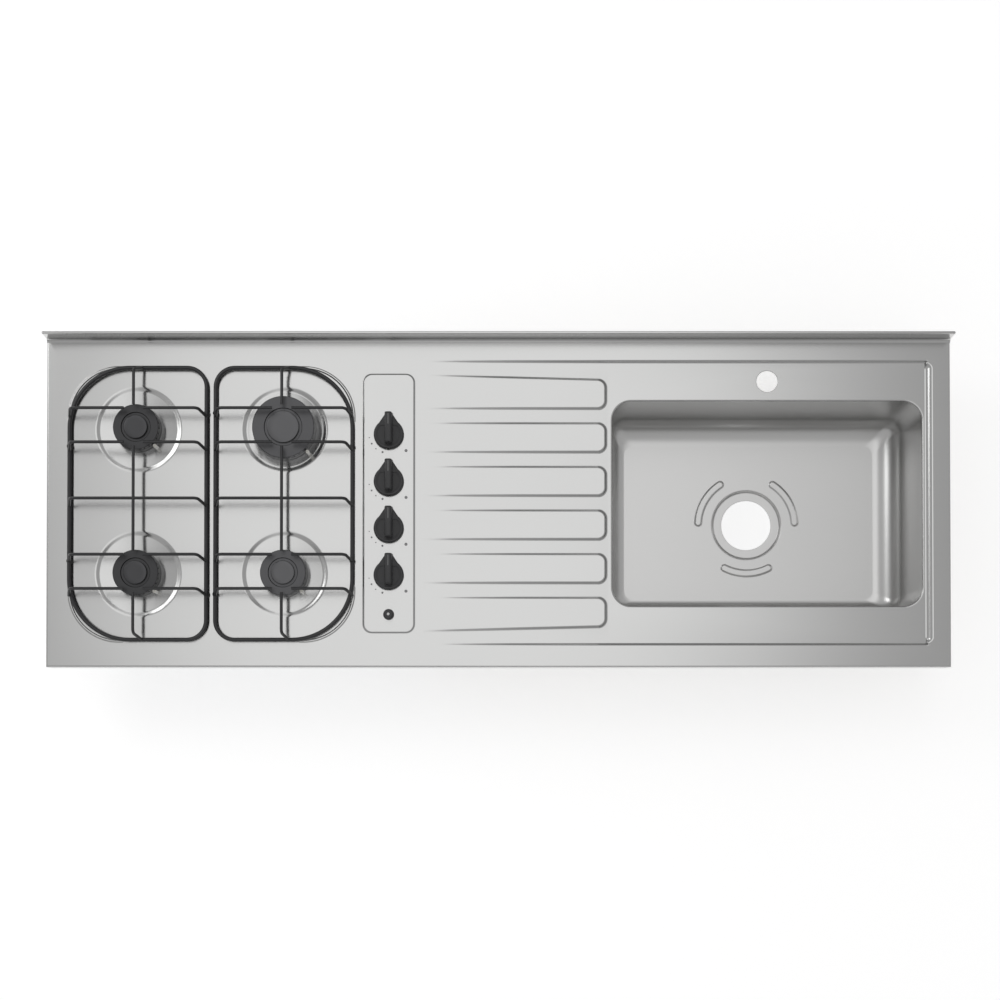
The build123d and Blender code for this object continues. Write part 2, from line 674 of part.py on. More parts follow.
def burner_cap(burner):
    """The lift-off cap: a disc with a stem that drops into the crown."""
    x, y, (_, _, cap_r) = burner
    disc = drum(x, y, cap_r, CAP_BOTTOM, CAP_BOTTOM + CAP_THICKNESS)
    disc = fillet(disc.edges().group_by(Axis.Z)[-1], CAP_EDGE_RADIUS)
    return disc + drum(x, y, CAP_STEM_R, CAP_BOTTOM - CAP_STEM_LENGTH, CAP_BOTTOM)


def electrode(burner):
    """A ceramic spark electrode with a shoulder under the sheet and a bare tip."""
    x, y = electrode_place(burner)
    top = WELL_TOP + ELECTRODE_ABOVE
    post = drum(x, y, ELECTRODE_R, WELL_TOP - ELECTRODE_BELOW, top)
    shoulder = drum(x, y, ELECTRODE_SHOULDER_R, WELL_UNDER - ELECTRODE_SHOULDER, WELL_UNDER)
    return post + shoulder + drum(x, y, ELECTRODE_TIP_R, top, top + ELECTRODE_TIP)


# Grates


def grate_edges(side):
    """The rod centre lines of a grate: inner x, outer x, back y, front y."""
    inner = HOB_X + side * (GRATE_SPACING / 2 + GRATE_ROD_R)
    outer = HOB_X + side * (GRATE_SPACING / 2 + GRATE_WIDTH - GRATE_ROD_R)
    half = GRATE_DEPTH / 2 - GRATE_ROD_R
    return inner, outer, GRATE_CENTRE_Y + half, GRATE_CENTRE_Y - half


def grate_frame(side):
    """The ring of round rod, with large corners on the outer side."""
    inner, outer, back, front = grate_edges(side)
    ring = FilletPolyline(
        (inner, back, ROD_Z),
        (outer, back, ROD_Z),
        (outer, front, ROD_Z),
        (inner, front, ROD_Z),
        radius=[GRATE_INNER_CORNER, GRATE_OUTER_CORNER, GRATE_OUTER_CORNER, GRATE_INNER_CORNER],
        close=True,
    )
    return rod(ring, GRATE_ROD_R)


def leg_bar(start, corner, end):
    """A bar that rises from the ring on a leaning leg and bends over to its end."""
    return rod(FilletPolyline(start, corner, end, radius=BAR_BEND), BAR_R)


def grate_bars(side, frame):
    """The pan supports: fingers from both sides, one full cross bar and lengthwise bars."""
    inner, outer, back, front = grate_edges(side)
    burner_x = HOB_X + side * BURNER_PITCH_X / 2
    rows = [BURNER_BACK, BURNER_FRONT]
    bars = []
    for row in rows:
        for y in (row - FINGER_OFFSET, row + FINGER_OFFSET):
            for rail, towards in ((outer, side), (inner, -side)):
                tip = (burner_x + towards * FINGER_TIP, y, BAR_Z)
                top = (rail - towards * LEG_LEAN, y, BAR_Z)
                bars.append(leg_bar((rail, y - LEG_SIDE, ROD_Z), top, tip))
    for rail, row, towards in ((back, rows[0], 1), (front, rows[1], -1)):
        tip = (burner_x, row + towards * LENGTHWISE_TIP, BAR_Z)
        top = (burner_x, rail - towards * LEG_LEAN, BAR_Z)
        bars.append(leg_bar((burner_x + LEG_SIDE, rail, ROD_Z), top, tip))
    cross = FilletPolyline(
        (outer, HOB_CENTRE_Y - LEG_SIDE, ROD_Z),
        (outer - side * LEG_LEAN, HOB_CENTRE_Y, BAR_Z),
        (inner + side * LEG_LEAN, HOB_CENTRE_Y, BAR_Z),
        (inner, HOB_CENTRE_Y - LEG_SIDE, ROD_Z),
        radius=BAR_BEND,
    )
    middle = Line((burner_x, rows[0] - LENGTHWISE_TIP, BAR_Z), (burner_x, rows[1] + LENGTHWISE_TIP, BAR_Z))
    cross_bar = rod(cross, BAR_R)
    bars += [cross_bar, rod(middle, BAR_R) - cross_bar]
    return group([bar - frame for bar in bars])


def grate_feet(side, frame):
    """Rubber feet pressed up round the ring, two on each long side."""
    inner, outer, _, _ = grate_edges(side)
    places = [(outer, OUTER_FOOT_SPACING), (inner, INNER_FOOT_SPACING)]
    feet = [
        drum(x, GRATE_CENTRE_Y + turn * spacing / 2, FOOT_R, TOP + SEAT_GAP, ROD_Z)
        for x, spacing in places
        for turn in (-1, 1)
    ]
    return group([foot - frame for foot in feet])


# Gas train


def gas_ways():
    """Cutters for the gas holes between the manifold and each valve."""
    return [drum(PANEL_X, y, GAS_WAY_R, MANIFOLD_Z, PLUG_BOTTOM + RUNNING_CLEARANCE) for y in KNOB_YS]


def manifold_bar(radius, tail):
    """A bar along the manifold's axis, from its closed front end to the inlet's socket."""
    front = KNOB_YS[-1] - tail
    back = INLET_Y - INLET_BODY_R + INLET_SOCKET
    return Pos(PANEL_X, (front + back) / 2, MANIFOLD_Z) * Rot(90, 0, 0) * Cylinder(radius, back - front)


def gas_manifold():
    """The closed pipe under the valves."""
    bore = manifold_bar(MANIFOLD_R - MANIFOLD_WALL, MANIFOLD_TAIL - MANIFOLD_WALL)
    return manifold_bar(MANIFOLD_R, MANIFOLD_TAIL) - bore - gas_ways()


def gas_inlet():
    """The elbow at the manifold's back end, with its spigot down through the tray."""
    low = MANIFOLD_Z - INLET_BODY_HALF
    body = drum(PANEL_X, INLET_Y, INLET_BODY_R, low, MANIFOLD_Z + INLET_BODY_HALF)
    body += drum(PANEL_X, INLET_Y, SPIGOT_R, low - SPIGOT_LENGTH, low)
    body -= drum(PANEL_X, INLET_Y, SPIGOT_BORE_R, low - SPIGOT_LENGTH - OVERCUT, MANIFOLD_Z)
    return body - manifold_bar(MANIFOLD_R, MANIFOLD_TAIL)


def plug_cone(y, grow):
    """The valve's taper, or its seat when grown by the running clearance."""
    return frustum(PANEL_X, y, PLUG_FOOT_R + grow, PLUG_TOP_R + grow, PLUG_BOTTOM, PLUG_TOP)


def side_bore(y, radius, length):
    """A bar from the valve's axis towards the burners, at the outlet's height."""
    return Pos(PANEL_X - length / 2, y, OUTLET_Z) * Rot(0, 90, 0) * Cylinder(radius, length)


def valve_body(y):
    """A valve that sits on the manifold and bears up against the panel."""
    half = VALVE_WIDTH / 2
    block_top = VALVE_BOTTOM + VALVE_BLOCK_HEIGHT
    body = block(PANEL_X - half, PANEL_X + half, y - half, y + half, VALVE_BOTTOM, block_top)
    body += drum(PANEL_X, y, VALVE_NECK_R, block_top, PANEL_UNDER)
    body += side_bore(y, OUTLET_R, half + OUTLET_LENGTH)
    body -= plug_cone(y, RUNNING_CLEARANCE)
    body -= drum(PANEL_X, y, VALVE_BORE_R, PLUG_TOP, PANEL_UNDER + OVERCUT)
    body -= side_bore(y, PLUG_PORT_R, half + OUTLET_LENGTH + OVERCUT)
    return body - manifold_bar(MANIFOLD_R, MANIFOLD_TAIL) - gas_ways()


def valve_plug(y):
    """The tapered plug that turns in the valve, with its port and the socket for the spindle."""
    plug = plug_cone(y, 0.0)
    plug -= drum(PANEL_X, y, TANG_R + RUNNING_CLEARANCE, PLUG_TOP - PLUG_SOCKET_DEPTH, PLUG_TOP + OVERCUT)
    turned = Pos(PANEL_X, y, 0) * Rot(0, 0, 90) * Pos(-PANEL_X, -y, 0)
    return plug - turned * side_bore(y, PLUG_PORT_R, VALVE_WIDTH)


def spindle(y):
    """The push-and-turn spindle: a tang in the plug, a guide collar and a flatted end in the knob."""
    collar_bottom = PLUG_TOP + KNOB_GAP + SEAT_GAP
    collar_top = collar_bottom + SPINDLE_COLLAR
    stem = drum(PANEL_X, y, TANG_R, collar_bottom - TANG_LENGTH, collar_bottom)
    stem += drum(PANEL_X, y, VALVE_BORE_R - RUNNING_CLEARANCE, collar_bottom, collar_top)
    stem += drum(PANEL_X, y, SPINDLE_R, collar_top, SPINDLE_TOP)
    flat = block(
        PANEL_X - SPINDLE_R, PANEL_X + SPINDLE_R, y - SPINDLE_R - OVERCUT, y - SPINDLE_FLAT,
        KNOB_BOTTOM, SPINDLE_TOP + OVERCUT,
    )
    return stem - flat


def knob(y):
    """A round skirt with a grip bar whose nose points to the back."""
    skirt_top = KNOB_BOTTOM + KNOB_SKIRT
    top_r = KNOB_SKIRT_R - KNOB_SKIRT * math.tan(math.radians(KNOB_DRAFT))
    skirt = frustum(PANEL_X, y, KNOB_SKIRT_R, top_r, KNOB_BOTTOM, skirt_top)
    half = GRIP_WIDTH / 2
    bar = FilletPolyline(
        (-half, -GRIP_BACK), (half, -GRIP_BACK), (half, GRIP_FRONT), (-half, GRIP_FRONT),
        radius=GRIP_CORNER, close=True,
    )
    foot = Pos(PANEL_X, y, KNOB_BOTTOM)
    grip = foot * extrude(make_face(bar), amount=KNOB_SKIRT + GRIP_HEIGHT, taper=GRIP_DRAFT)
    root = NOSE_ROOT_WIDTH / 2
    tip = GRIP_FRONT - GRIP_CORNER
    flare = Polyline((-root, NOSE_ROOT), (root, NOSE_ROOT), (half, tip), (-half, tip), close=True)
    nose = foot * extrude(make_face(flare), amount=KNOB_SKIRT, taper=GRIP_DRAFT)
    return skirt + grip + nose - spindle(y)


def feed_route(valve_y, burner):
    """A feed pipe's path: out of the valve, down to its level, across and up under the injector."""
    x, y, _ = burner
    start_x = PANEL_X - VALVE_WIDTH / 2 - OUTLET_LENGTH
    lane_y = y if x > HOB_X else math.copysign(PIPE_LANE_Y, y)
    route = [
        (start_x, valve_y, OUTLET_Z),
        (start_x - PIPE_LEAD, valve_y, OUTLET_Z),
        (start_x - PIPE_LEAD - PIPE_DIP, lane_y, PIPE_LEVEL),
    ]
    if x < HOB_X:
        route.append((x + PIPE_TURN_X, lane_y, PIPE_LEVEL))
    route += [(x, y, PIPE_LEVEL), (x, y, CUP_BOTTOM - INJECTOR_STUB)]
    return FilletPolyline(*route, radius=PIPE_BEND)


# Ignition


def igniter_collar():
    """The bush in the panel that guides the button and holds its switch."""
    collar = drum(PANEL_X, IGNITER_Y, COLLAR_R, PANEL_TOP, PANEL_TOP + COLLAR_HEIGHT)
    collar += drum(PANEL_X, IGNITER_Y, COLLAR_BODY_R, PANEL_TOP - COLLAR_DEPTH, PANEL_TOP)
    bore_bottom = PANEL_TOP - COLLAR_DEPTH + COLLAR_FLOOR
    bore_top = PANEL_TOP + COLLAR_HEIGHT + OVERCUT
    return collar - drum(PANEL_X, IGNITER_Y, BUTTON_STEM_R + RUNNING_CLEARANCE, bore_bottom, bore_top)


def igniter_button():
    """The push button: a round head on a stem."""
    bottom = PANEL_TOP + COLLAR_HEIGHT + BUTTON_GAP
    head = drum(PANEL_X, IGNITER_Y, BUTTON_R, bottom, bottom + BUTTON_HEIGHT)
    head = fillet(head.edges().group_by(Axis.Z)[-1], BUTTON_EDGE_RADIUS)
    return head + drum(PANEL_X, IGNITER_Y, BUTTON_STEM_R, PANEL_TOP - BUTTON_STEM_BELOW, bottom)


def module_corner():
    """The spark module's left, right and back faces."""
    centre_x = HOB_X + MODULE_FROM_HOB
    back = PAN_FRONT + SHEET + MODULE_FROM_TRAY + MODULE_WIDTH
    return centre_x - MODULE_LENGTH / 2, centre_x + MODULE_LENGTH / 2, back


def spark_module():
    """The sealed spark generator on the tray's floor."""
    left, right, back = module_corner()
    body = block(left, right, back - MODULE_WIDTH, back, TRAY_TOP_OF_FLOOR, TRAY_TOP_OF_FLOOR + MODULE_HEIGHT)
    return fillet(body.edges().filter_by(Axis.Z), MODULE_CORNER)


def ignition_leads():
    """The leads from the module to the electrodes and to the button's switch."""
    left, right, back = module_corner()
    level = TRAY_TOP_OF_FLOOR + LEAD_LIFT
    post_foot = WELL_TOP - ELECTRODE_BELOW
    back_left, back_right, front_left, front_right = [electrode_place(burner) for burner in BURNERS]
    routes = []
    for x, y in (back_right, front_right):
        routes.append([(x, back, level), (x, y, level), (x, y, post_foot)])
    lane = back - MODULE_WIDTH / 2
    x, y = front_left
    routes.append([(left, lane, level), (x, lane, level), (x, y, level), (x, y, post_foot)])
    lane += LEAD_LANE
    x, y = back_left
    beside = x + LEAD_PASS
    routes.append(
        [(left, lane, level), (beside, lane, level), (beside, y, level), (x, y, level), (x, y, post_foot)]
    )
    switch_foot = PANEL_TOP - COLLAR_DEPTH
    lane = back - MODULE_WIDTH / 2
    foot = (PANEL_X, IGNITER_Y, level)
    routes.append([(PANEL_X, IGNITER_Y, switch_foot), foot, (PANEL_X, lane, level), (right, lane, level)])
    return group([rod(FilletPolyline(*route, radius=LEAD_BEND), LEAD_R) for route in routes])


def main():
    """Build every node and write it."""
    os.makedirs("parts", exist_ok=True)
    for name, shape in {**worktop_skin(), **sink(), **rails()}.items():
        save(shape, name)
    save(hob_tray(), "hob_tray")
    save(group(tray_screws()), "tray_screws")
    for number, burner in enumerate(BURNERS, start=1):
        save(burner_cup(burner), f"burner_cup_{number}")
        save(burner_crown(burner), f"burner_crown_{number}")
        save(burner_cap(burner), f"burner_cap_{number}")
    save(group([injector(burner) for burner in BURNERS]), "injectors")
    save(group([electrode(burner) for burner in BURNERS]), "electrodes")
    for side, word in ((-1, "left"), (1, "right")):
        frame = grate_frame(side)
        save(frame, f"{word}_grate_frame")
        save(grate_bars(side, frame), f"{word}_grate_bars")
        save(grate_feet(side, frame), f"{word}_grate_feet")
    save(gas_manifold(), "gas_manifold")
    save(gas_inlet(), "gas_inlet")
    back_left, back_right, front_left, front_right = BURNERS
    fed_burners = (back_right, back_left, front_left, front_right)
    for number, (y, burner) in enumerate(zip(KNOB_YS, fed_burners), start=1):
        save(valve_body(y), f"valve_body_{number}")
        save(valve_plug(y), f"valve_plug_{number}")
        save(spindle(y), f"spindle_{number}")
        save(knob(y), f"knob_{number}")
        save(tube(feed_route(y, burner), PIPE_R, PIPE_WALL), f"feed_pipe_{number}")
    save(igniter_collar(), "igniter_collar")
    save(igniter_button(), "igniter_button")
    save(spark_module(), "spark_module")
    save(ignition_leads(), "ignition_leads")


main()
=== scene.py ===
"""Looks of a pressed stainless kitchen worktop with a gas hob, a drainer and a sink.

Metres throughout, in the part's own frame: X runs along the front edge, Y to the back and Z up.
"""

from __future__ import annotations

import logging
import math
from collections.abc import Callable, Iterable, Sequence
from dataclasses import dataclass
from enum import Enum

import bmesh
import bpy
from mathutils import Matrix, Vector

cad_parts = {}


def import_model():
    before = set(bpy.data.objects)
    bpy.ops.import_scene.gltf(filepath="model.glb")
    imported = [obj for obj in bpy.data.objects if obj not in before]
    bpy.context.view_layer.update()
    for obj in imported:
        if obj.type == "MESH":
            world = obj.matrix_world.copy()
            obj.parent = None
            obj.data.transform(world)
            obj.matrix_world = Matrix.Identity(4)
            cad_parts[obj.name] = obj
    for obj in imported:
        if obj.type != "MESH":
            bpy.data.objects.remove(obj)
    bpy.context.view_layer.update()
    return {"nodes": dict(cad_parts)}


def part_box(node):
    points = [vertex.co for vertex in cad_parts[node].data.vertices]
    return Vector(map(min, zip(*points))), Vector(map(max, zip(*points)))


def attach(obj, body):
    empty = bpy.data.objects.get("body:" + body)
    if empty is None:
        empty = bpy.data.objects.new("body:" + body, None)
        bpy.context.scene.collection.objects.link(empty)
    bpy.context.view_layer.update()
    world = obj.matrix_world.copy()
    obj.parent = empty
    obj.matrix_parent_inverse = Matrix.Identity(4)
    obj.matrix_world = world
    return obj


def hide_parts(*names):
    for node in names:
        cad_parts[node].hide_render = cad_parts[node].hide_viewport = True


LOG = logging.getLogger("worktop")

# Heights that several pieces share
TOP = 0.040
FOLD = 0.037
PANEL_TOP = 0.042
WELL_FLOOR = 0.037
POCKET_FLOOR = 0.0355

# Sizes and places that several pieces share
LENGTH = 1.5
SHEET = 0.001
COVE_START = 0.264
PANEL_X = -0.182
SINK_X = 0.4462
SINK_Y = -0.003
SINK_SIZE = (0.5145, 0.3415)
SINK_CORNER = 0.032
BURNER_PLACES = ((-0.59725, 0.1195), (-0.35475, 0.1195), (-0.59725, -0.1205), (-0.35475, -0.1205))
ROOT = "worktop"

WHITE = (1.0, 1.0, 1.0, 1.0)
QUARTER = math.pi / 2
UPRIGHT = (0.0, 0.0, 1.0)

# How near counts as lying in a plane, and how far apart two points are the same one
NEAR = 1e-6
SAME = 1e-5

# A place left of everything, and how long the edges along a bend are
FAR_LEFT = -9.0
BEND_STEP = 0.004

# A flat rim each side of a pressed wall, so that the flats shade flat
MARGIN = 0.0005

# Finer layers of the noise in a finish, the wander of the rings in timber and the glossiest a finish gets
PLAIN_DETAIL = 3.0
BRUSHED_DETAIL = 6.0
RING_WANDER = 6.0
LEAST_ROUGHNESS = 0.02


class Sum(Enum):
    """The nodes that work out one value from two."""

    NUMBER = "ShaderNodeMath"
    VECTOR = "ShaderNodeVectorMath"


def settle(node: bpy.types.Node, values: dict[str, object]) -> None:
    """Set a node's plain inputs by name."""
    for name, value in values.items():
        node.inputs[name].default_value = value


def combined(tree: bpy.types.NodeTree, kind: Sum, operation: str, first: bpy.types.NodeSocket,
             second: bpy.types.NodeSocket | float | tuple[float, ...]) -> bpy.types.NodeSocket:
    """Work out one value from two.

    Args:
        tree: The node tree.
        kind: Whether the values are numbers or vectors.
        operation: The operation's name.
        first: The first value's socket.
        second: The second value, or its socket.

    Returns:
        The result's socket.
    """
    step = tree.nodes.new(kind.value)
    step.operation = operation
    tree.links.new(first, step.inputs[0])
    if isinstance(second, bpy.types.NodeSocket):
        tree.links.new(second, step.inputs[1])
    else:
        step.inputs[1].default_value = second
    return step.outputs[0]


def ranged(tree: bpy.types.NodeTree, value: bpy.types.NodeSocket, span: tuple[float, float],
           levels: tuple[float, float], smooth: bool = False) -> bpy.types.NodeSocket:
    """Step from one level to another.

    Args:
        tree: The node tree.
        value: What the step follows.
        span: Where the step starts and ends.
        levels: The levels before and after it.
        smooth: Whether the step is soft at both ends.

    Returns:
        The level's socket.
    """
    step = tree.nodes.new("ShaderNodeMapRange")
    step.interpolation_type = "SMOOTHSTEP" if smooth else "LINEAR"
    tree.links.new(value, step.inputs["Value"])
    settle(step, dict(zip(("From Min", "From Max", "To Min", "To Max"), span + levels)))
    return step.outputs["Result"]


def clouds(tree: bpy.types.NodeTree, place: bpy.types.NodeSocket, scale: float, detail: float
           ) -> bpy.types.NodeSocket:
    """Lay soft noise.

    Args:
        tree: The node tree.
        place: The coordinates that the noise lies on.
        scale: The noise's cells per metre.
        detail: How many finer layers it has.

    Returns:
        The noise, from 0 to 1.
    """
    noise = tree.nodes.new("ShaderNodeTexNoise")
    settle(noise, {"Scale": scale, "Detail": detail})
    tree.links.new(place, noise.inputs["Vector"])
    return noise.outputs["Fac"]


class Grain(Enum):
    """The kinds of fine relief that a finish can carry."""

    BRUSHED = "brushed"
    CAST = "cast"
    SAWN = "sawn"


@dataclass(frozen=True)
class Finish:
    """A material: its colour, gloss and fine relief.

    The stretch gives the relief's cells per metre along each axis.
    """

    name: str
    colour: tuple[float, float, float]
    roughness: float
    metallic: float = 0.0
    grain: Grain = Grain.CAST
    stretch: tuple[float, float, float] = (900.0, 900.0, 900.0)
    relief: float = 0.00005
    relief_strength: float = 0.3
    tone: float = 0.05
    spread: float = 0.05
    cloud: float = 9.0
    coat: float = 0.0
    anisotropy: float = 0.0

    def material(self) -> bpy.types.Material:
        """Give the finish's material, made once."""
        found = bpy.data.materials.get(f"{self.name}_finish")
        return found or self.make()

    def make(self) -> bpy.types.Material:
        """Make the material's nodes.

        Returns:
            The new material.
        """
        made = bpy.data.materials.new(f"{self.name}_finish")
        made.use_nodes = True
        tree = made.node_tree
        shader = tree.nodes["Principled BSDF"]
        settle(shader, {"Metallic": self.metallic, "Anisotropic": self.anisotropy, "Coat Weight": self.coat})
        place = tree.nodes.new("ShaderNodeTexCoord").outputs["Object"]
        fine = self.fine_relief(tree, place)
        both = combined(tree, Sum.NUMBER, "ADD", fine, clouds(tree, place, self.cloud, PLAIN_DETAIL))
        mix = tree.nodes.new("ShaderNodeMix")
        mix.data_type = "RGBA"
        settle(mix, {"A": self.shade(1.0 - self.tone), "B": self.shade(1.0 + self.tone)})
        tree.links.new(ranged(tree, both, (0.0, 2.0), (0.0, 1.0)), mix.inputs["Factor"])
        tree.links.new(mix.outputs["Result"], shader.inputs["Base Color"])
        gloss = (max(self.roughness - self.spread, LEAST_ROUGHNESS), min(self.roughness + self.spread, 1.0))
        tree.links.new(ranged(tree, fine, (0.0, 1.0), gloss), shader.inputs["Roughness"])
        bump = tree.nodes.new("ShaderNodeBump")
        settle(bump, {"Strength": self.relief_strength, "Distance": self.relief})
        tree.links.new(fine, bump.inputs["Height"])
        tree.links.new(bump.outputs["Normal"], shader.inputs["Normal"])
        if self.anisotropy:
            across = tree.nodes.new("ShaderNodeTangent")
            across.direction_type = "UV_MAP"
            across.uv_map = "grain"
            tree.links.new(across.outputs["Tangent"], shader.inputs["Tangent"])
        return made

    def shade(self, factor: float) -> tuple[float, float, float, float]:
        """Give the colour, made lighter or darker by the factor, with full alpha."""
        red, green, blue = (min(part * factor, 1.0) for part in self.colour)
        return red, green, blue, 1.0

    def fine_relief(self, tree: bpy.types.NodeTree, place: bpy.types.NodeSocket) -> bpy.types.NodeSocket:
        """Make the fine relief of the grain.

        Args:
            tree: The material's node tree.
            place: The coordinates that the relief lies on.

        Returns:
            The relief's height, from 0 to 1.
        """
        stretched = tree.nodes.new("ShaderNodeMapping")
        stretched.inputs["Scale"].default_value = self.stretch
        tree.links.new(place, stretched.inputs["Vector"])
        if self.grain is not Grain.SAWN:
            detail = BRUSHED_DETAIL if self.grain is Grain.BRUSHED else PLAIN_DETAIL
            return clouds(tree, stretched.outputs["Vector"], 1.0, detail)
        rings = tree.nodes.new("ShaderNodeTexWave")
        settle(rings, {"Scale": 1.0, "Distortion": RING_WANDER, "Detail": PLAIN_DETAIL})
        tree.links.new(stretched.outputs["Vector"], rings.inputs["Vector"])
        return rings.outputs["Fac"]


ALONG = (6.0, 1400.0, 1400.0)
SHEET_STEEL = Finish("sheet_steel", (0.62, 0.62, 0.615), 0.17, 1.0, Grain.BRUSHED, ALONG, 0.00002, 0.15,
                     0.05, 0.03, 3.0, anisotropy=0.9)
FOLD_STEEL = Finish("fold_steel", (0.62, 0.62, 0.615), 0.28, 1.0, Grain.BRUSHED, ALONG, 0.00002, 0.25,
                    0.05, 0.05, 3.0)
BOWL_STEEL = Finish("bowl_steel", (0.69, 0.688, 0.682), 0.28, 1.0, Grain.BRUSHED, (40.0, 900.0, 900.0),
                    0.00001, 0.02, 0.03, 0.01, 5.0)
CAST_ALLOY = Finish("cast_alloy", (0.42, 0.42, 0.43), 0.5, 1.0, relief=0.0001, tone=0.12)
# Shaded and lit copies of one crown finish and one cap finish: the darker ones paint shade on the two left
# burners, the lighter ones paint light on the two right burners
SHADED_CROWN = Finish("shaded_crown", (0.068, 0.068, 0.070), 0.36, 1.0, relief=0.0001, tone=0.12)
LIT_CROWN = Finish("lit_crown", (0.118, 0.118, 0.122), 0.36, 1.0, relief=0.0001, tone=0.12)
SHADED_CAP = Finish("shaded_cap", (0.078, 0.078, 0.081), 0.30, 1.0, relief=0.00008, tone=0.1)
LIT_CAP = Finish("lit_cap", (0.126, 0.126, 0.130), 0.30, 1.0, relief=0.00008, tone=0.1)
GRATE_ENAMEL = Finish("grate_enamel", (0.03, 0.03, 0.032), 0.4, relief=0.00008, tone=0.2, coat=0.15)
BLACK_PLASTIC = Finish("black_plastic", (0.040, 0.040, 0.042), 0.34, relief=0.00004, tone=0.15)
GLOSS_PLASTIC = Finish("gloss_plastic", (0.03, 0.03, 0.032), 0.25, relief=0.00002, tone=0.1)
CERAMIC = Finish("ceramic", (0.82, 0.80, 0.75), 0.25, relief=0.00003, tone=0.04, coat=0.3)
RUBBER = Finish("rubber", (0.03, 0.03, 0.03), 0.8, relief=0.00008, tone=0.15)
TIMBER = Finish("timber", (0.55, 0.40, 0.24), 0.65, grain=Grain.SAWN, stretch=(6.0, 90.0, 90.0),
                relief=0.0003, tone=0.16, spread=0.1)
GALVANISED = Finish("galvanised", (0.58, 0.59, 0.60), 0.48, 1.0, stretch=(120.0, 120.0, 120.0), tone=0.12)
BRIGHT_ZINC = Finish("bright_zinc", (0.66, 0.65, 0.60), 0.35, 1.0, tone=0.08)
BRASS = Finish("brass", (0.74, 0.54, 0.24), 0.3, 1.0, Grain.BRUSHED, (900.0, 900.0, 60.0), 0.00003)
SOFT_ALLOY = Finish("soft_alloy", (0.72, 0.72, 0.73), 0.38, 1.0, tone=0.06)
PALE_PLASTIC = Finish("pale_plastic", (0.70, 0.69, 0.64), 0.5, relief=0.00006)
SILICONE = Finish("silicone", (0.75, 0.73, 0.68), 0.6, relief=0.00005)
GREY_INK = Finish("grey_ink", (0.36, 0.36, 0.365), 0.6, relief=0.00001, tone=0.1)
DIM_INK = Finish("dim_ink", (0.16, 0.16, 0.16), 0.5, relief=0.00001)
# Painted highlight: a pale colour laid on the igniter button's top where light catches it
HIGHLIGHT_PAINT = Finish("painted_highlight", (0.75, 0.75, 0.74), 0.4, relief=0.00001)


def ease(share: float) -> float:
    """Give the height of a smooth S-shaped step, from 0 to 1, at a share of its length."""
    held = min(max(share, 0.0), 1.0)
    return held * held * (3.0 - 2.0 * held)


def even_steps(reach: float, count: int) -> list[float]:
    """Give the distance at the end of each of so many even steps."""
    return [reach * (index + 1) / count for index in range(count)]


def arc_turns(count: int) -> list[float]:
    """Give the angles of a quarter turn in so many even steps, with its start."""
    return [0.0] + even_steps(QUARTER, count)


def round_off(bm: bmesh.types.BMesh, items: list[bmesh.types.BMVert] | list[bmesh.types.BMEdge],
              radius: float, segments: int, affect: str = "EDGES") -> None:
    """Round edges or flat corners off.

    Args:
        bm: The mesh.
        items: The edges or corners.
        radius: The radius.
        segments: How many edges or faces the round has.
        affect: Whether edges or vertices are rounded.
    """
    bmesh.ops.bevel(bm, geom=items, offset=radius, offset_type="OFFSET", affect=affect, segments=segments,
                    profile=0.5, material=-1)


def slice_at(bm: bmesh.types.BMesh, x: float) -> None:
    """Cut every face along a plane across X, and keep both sides."""
    bmesh.ops.bisect_plane(bm, geom=bm.verts[:] + bm.edges[:] + bm.faces[:], dist=NEAR,
                           plane_co=(x, 0.0, 0.0), plane_no=(1.0, 0.0, 0.0))


def disc(centre: Sequence[float], radius: float, height: float, segments: int = 72) -> bmesh.types.BMesh:
    """Draw one flat round face.

    Args:
        centre: Its middle, as x and y.
        radius: Its radius.
        height: Its height.
        segments: How many edges it has.

    Returns:
        The mesh with the face.
    """
    bm = bmesh.new()
    bmesh.ops.create_circle(bm, cap_ends=True, radius=radius, segments=segments,
                            matrix=Matrix.Translation((*centre, height)))
    return bm


def outline(bm: bmesh.types.BMesh, points: Sequence[Sequence[float]], radii: Sequence[float],
            height: float, segments: int = 8) -> bmesh.types.BMFace:
    """Draw one flat face with rounded corners.

    Args:
        bm: The mesh to draw in, with nothing else in it.
        points: The corners in turn, as x and y.
        radii: Each corner's radius.
        height: The face's height.
        segments: How many edges round a corner.

    Returns:
        The face.
    """
    corners = [bm.verts.new((x, y, height)) for x, y in points]
    bm.faces.new(corners)
    for corner, radius in zip(corners, radii):
        if radius:
            round_off(bm, [corner], radius, segments, "VERTICES")
    bm.faces.ensure_lookup_table()
    return bm.faces[0]


def rectangle(centre: Sequence[float], length: float, width: float) -> list[tuple[float, float]]:
    """Give the corners of a rectangle about a middle, anticlockwise."""
    x, y = centre
    return [(x + i * length / 2, y + j * width / 2) for i, j in ((-1, -1), (1, -1), (1, 1), (-1, 1))]


def press(bm: bmesh.types.BMesh, faces: list[bmesh.types.BMFace], distances: Iterable[float],
          height: Callable[[Vector, float], float]) -> None:
    """Inset a region ring by ring and set each ring's height.

    Args:
        bm: The mesh.
        faces: The region, which ends up inside the last ring.
        distances: How far each ring lies from the region's edge.
        height: The height at a place and a distance from the region's edge.
    """
    reached = 0.0
    for distance in distances:
        bmesh.ops.inset_region(bm, faces=faces, thickness=distance - reached, use_even_offset=True,
                               use_boundary=True)
        reached = distance
        for point in {point for face in faces for point in face.verts}:
            point.co.z = height(point.co, distance)


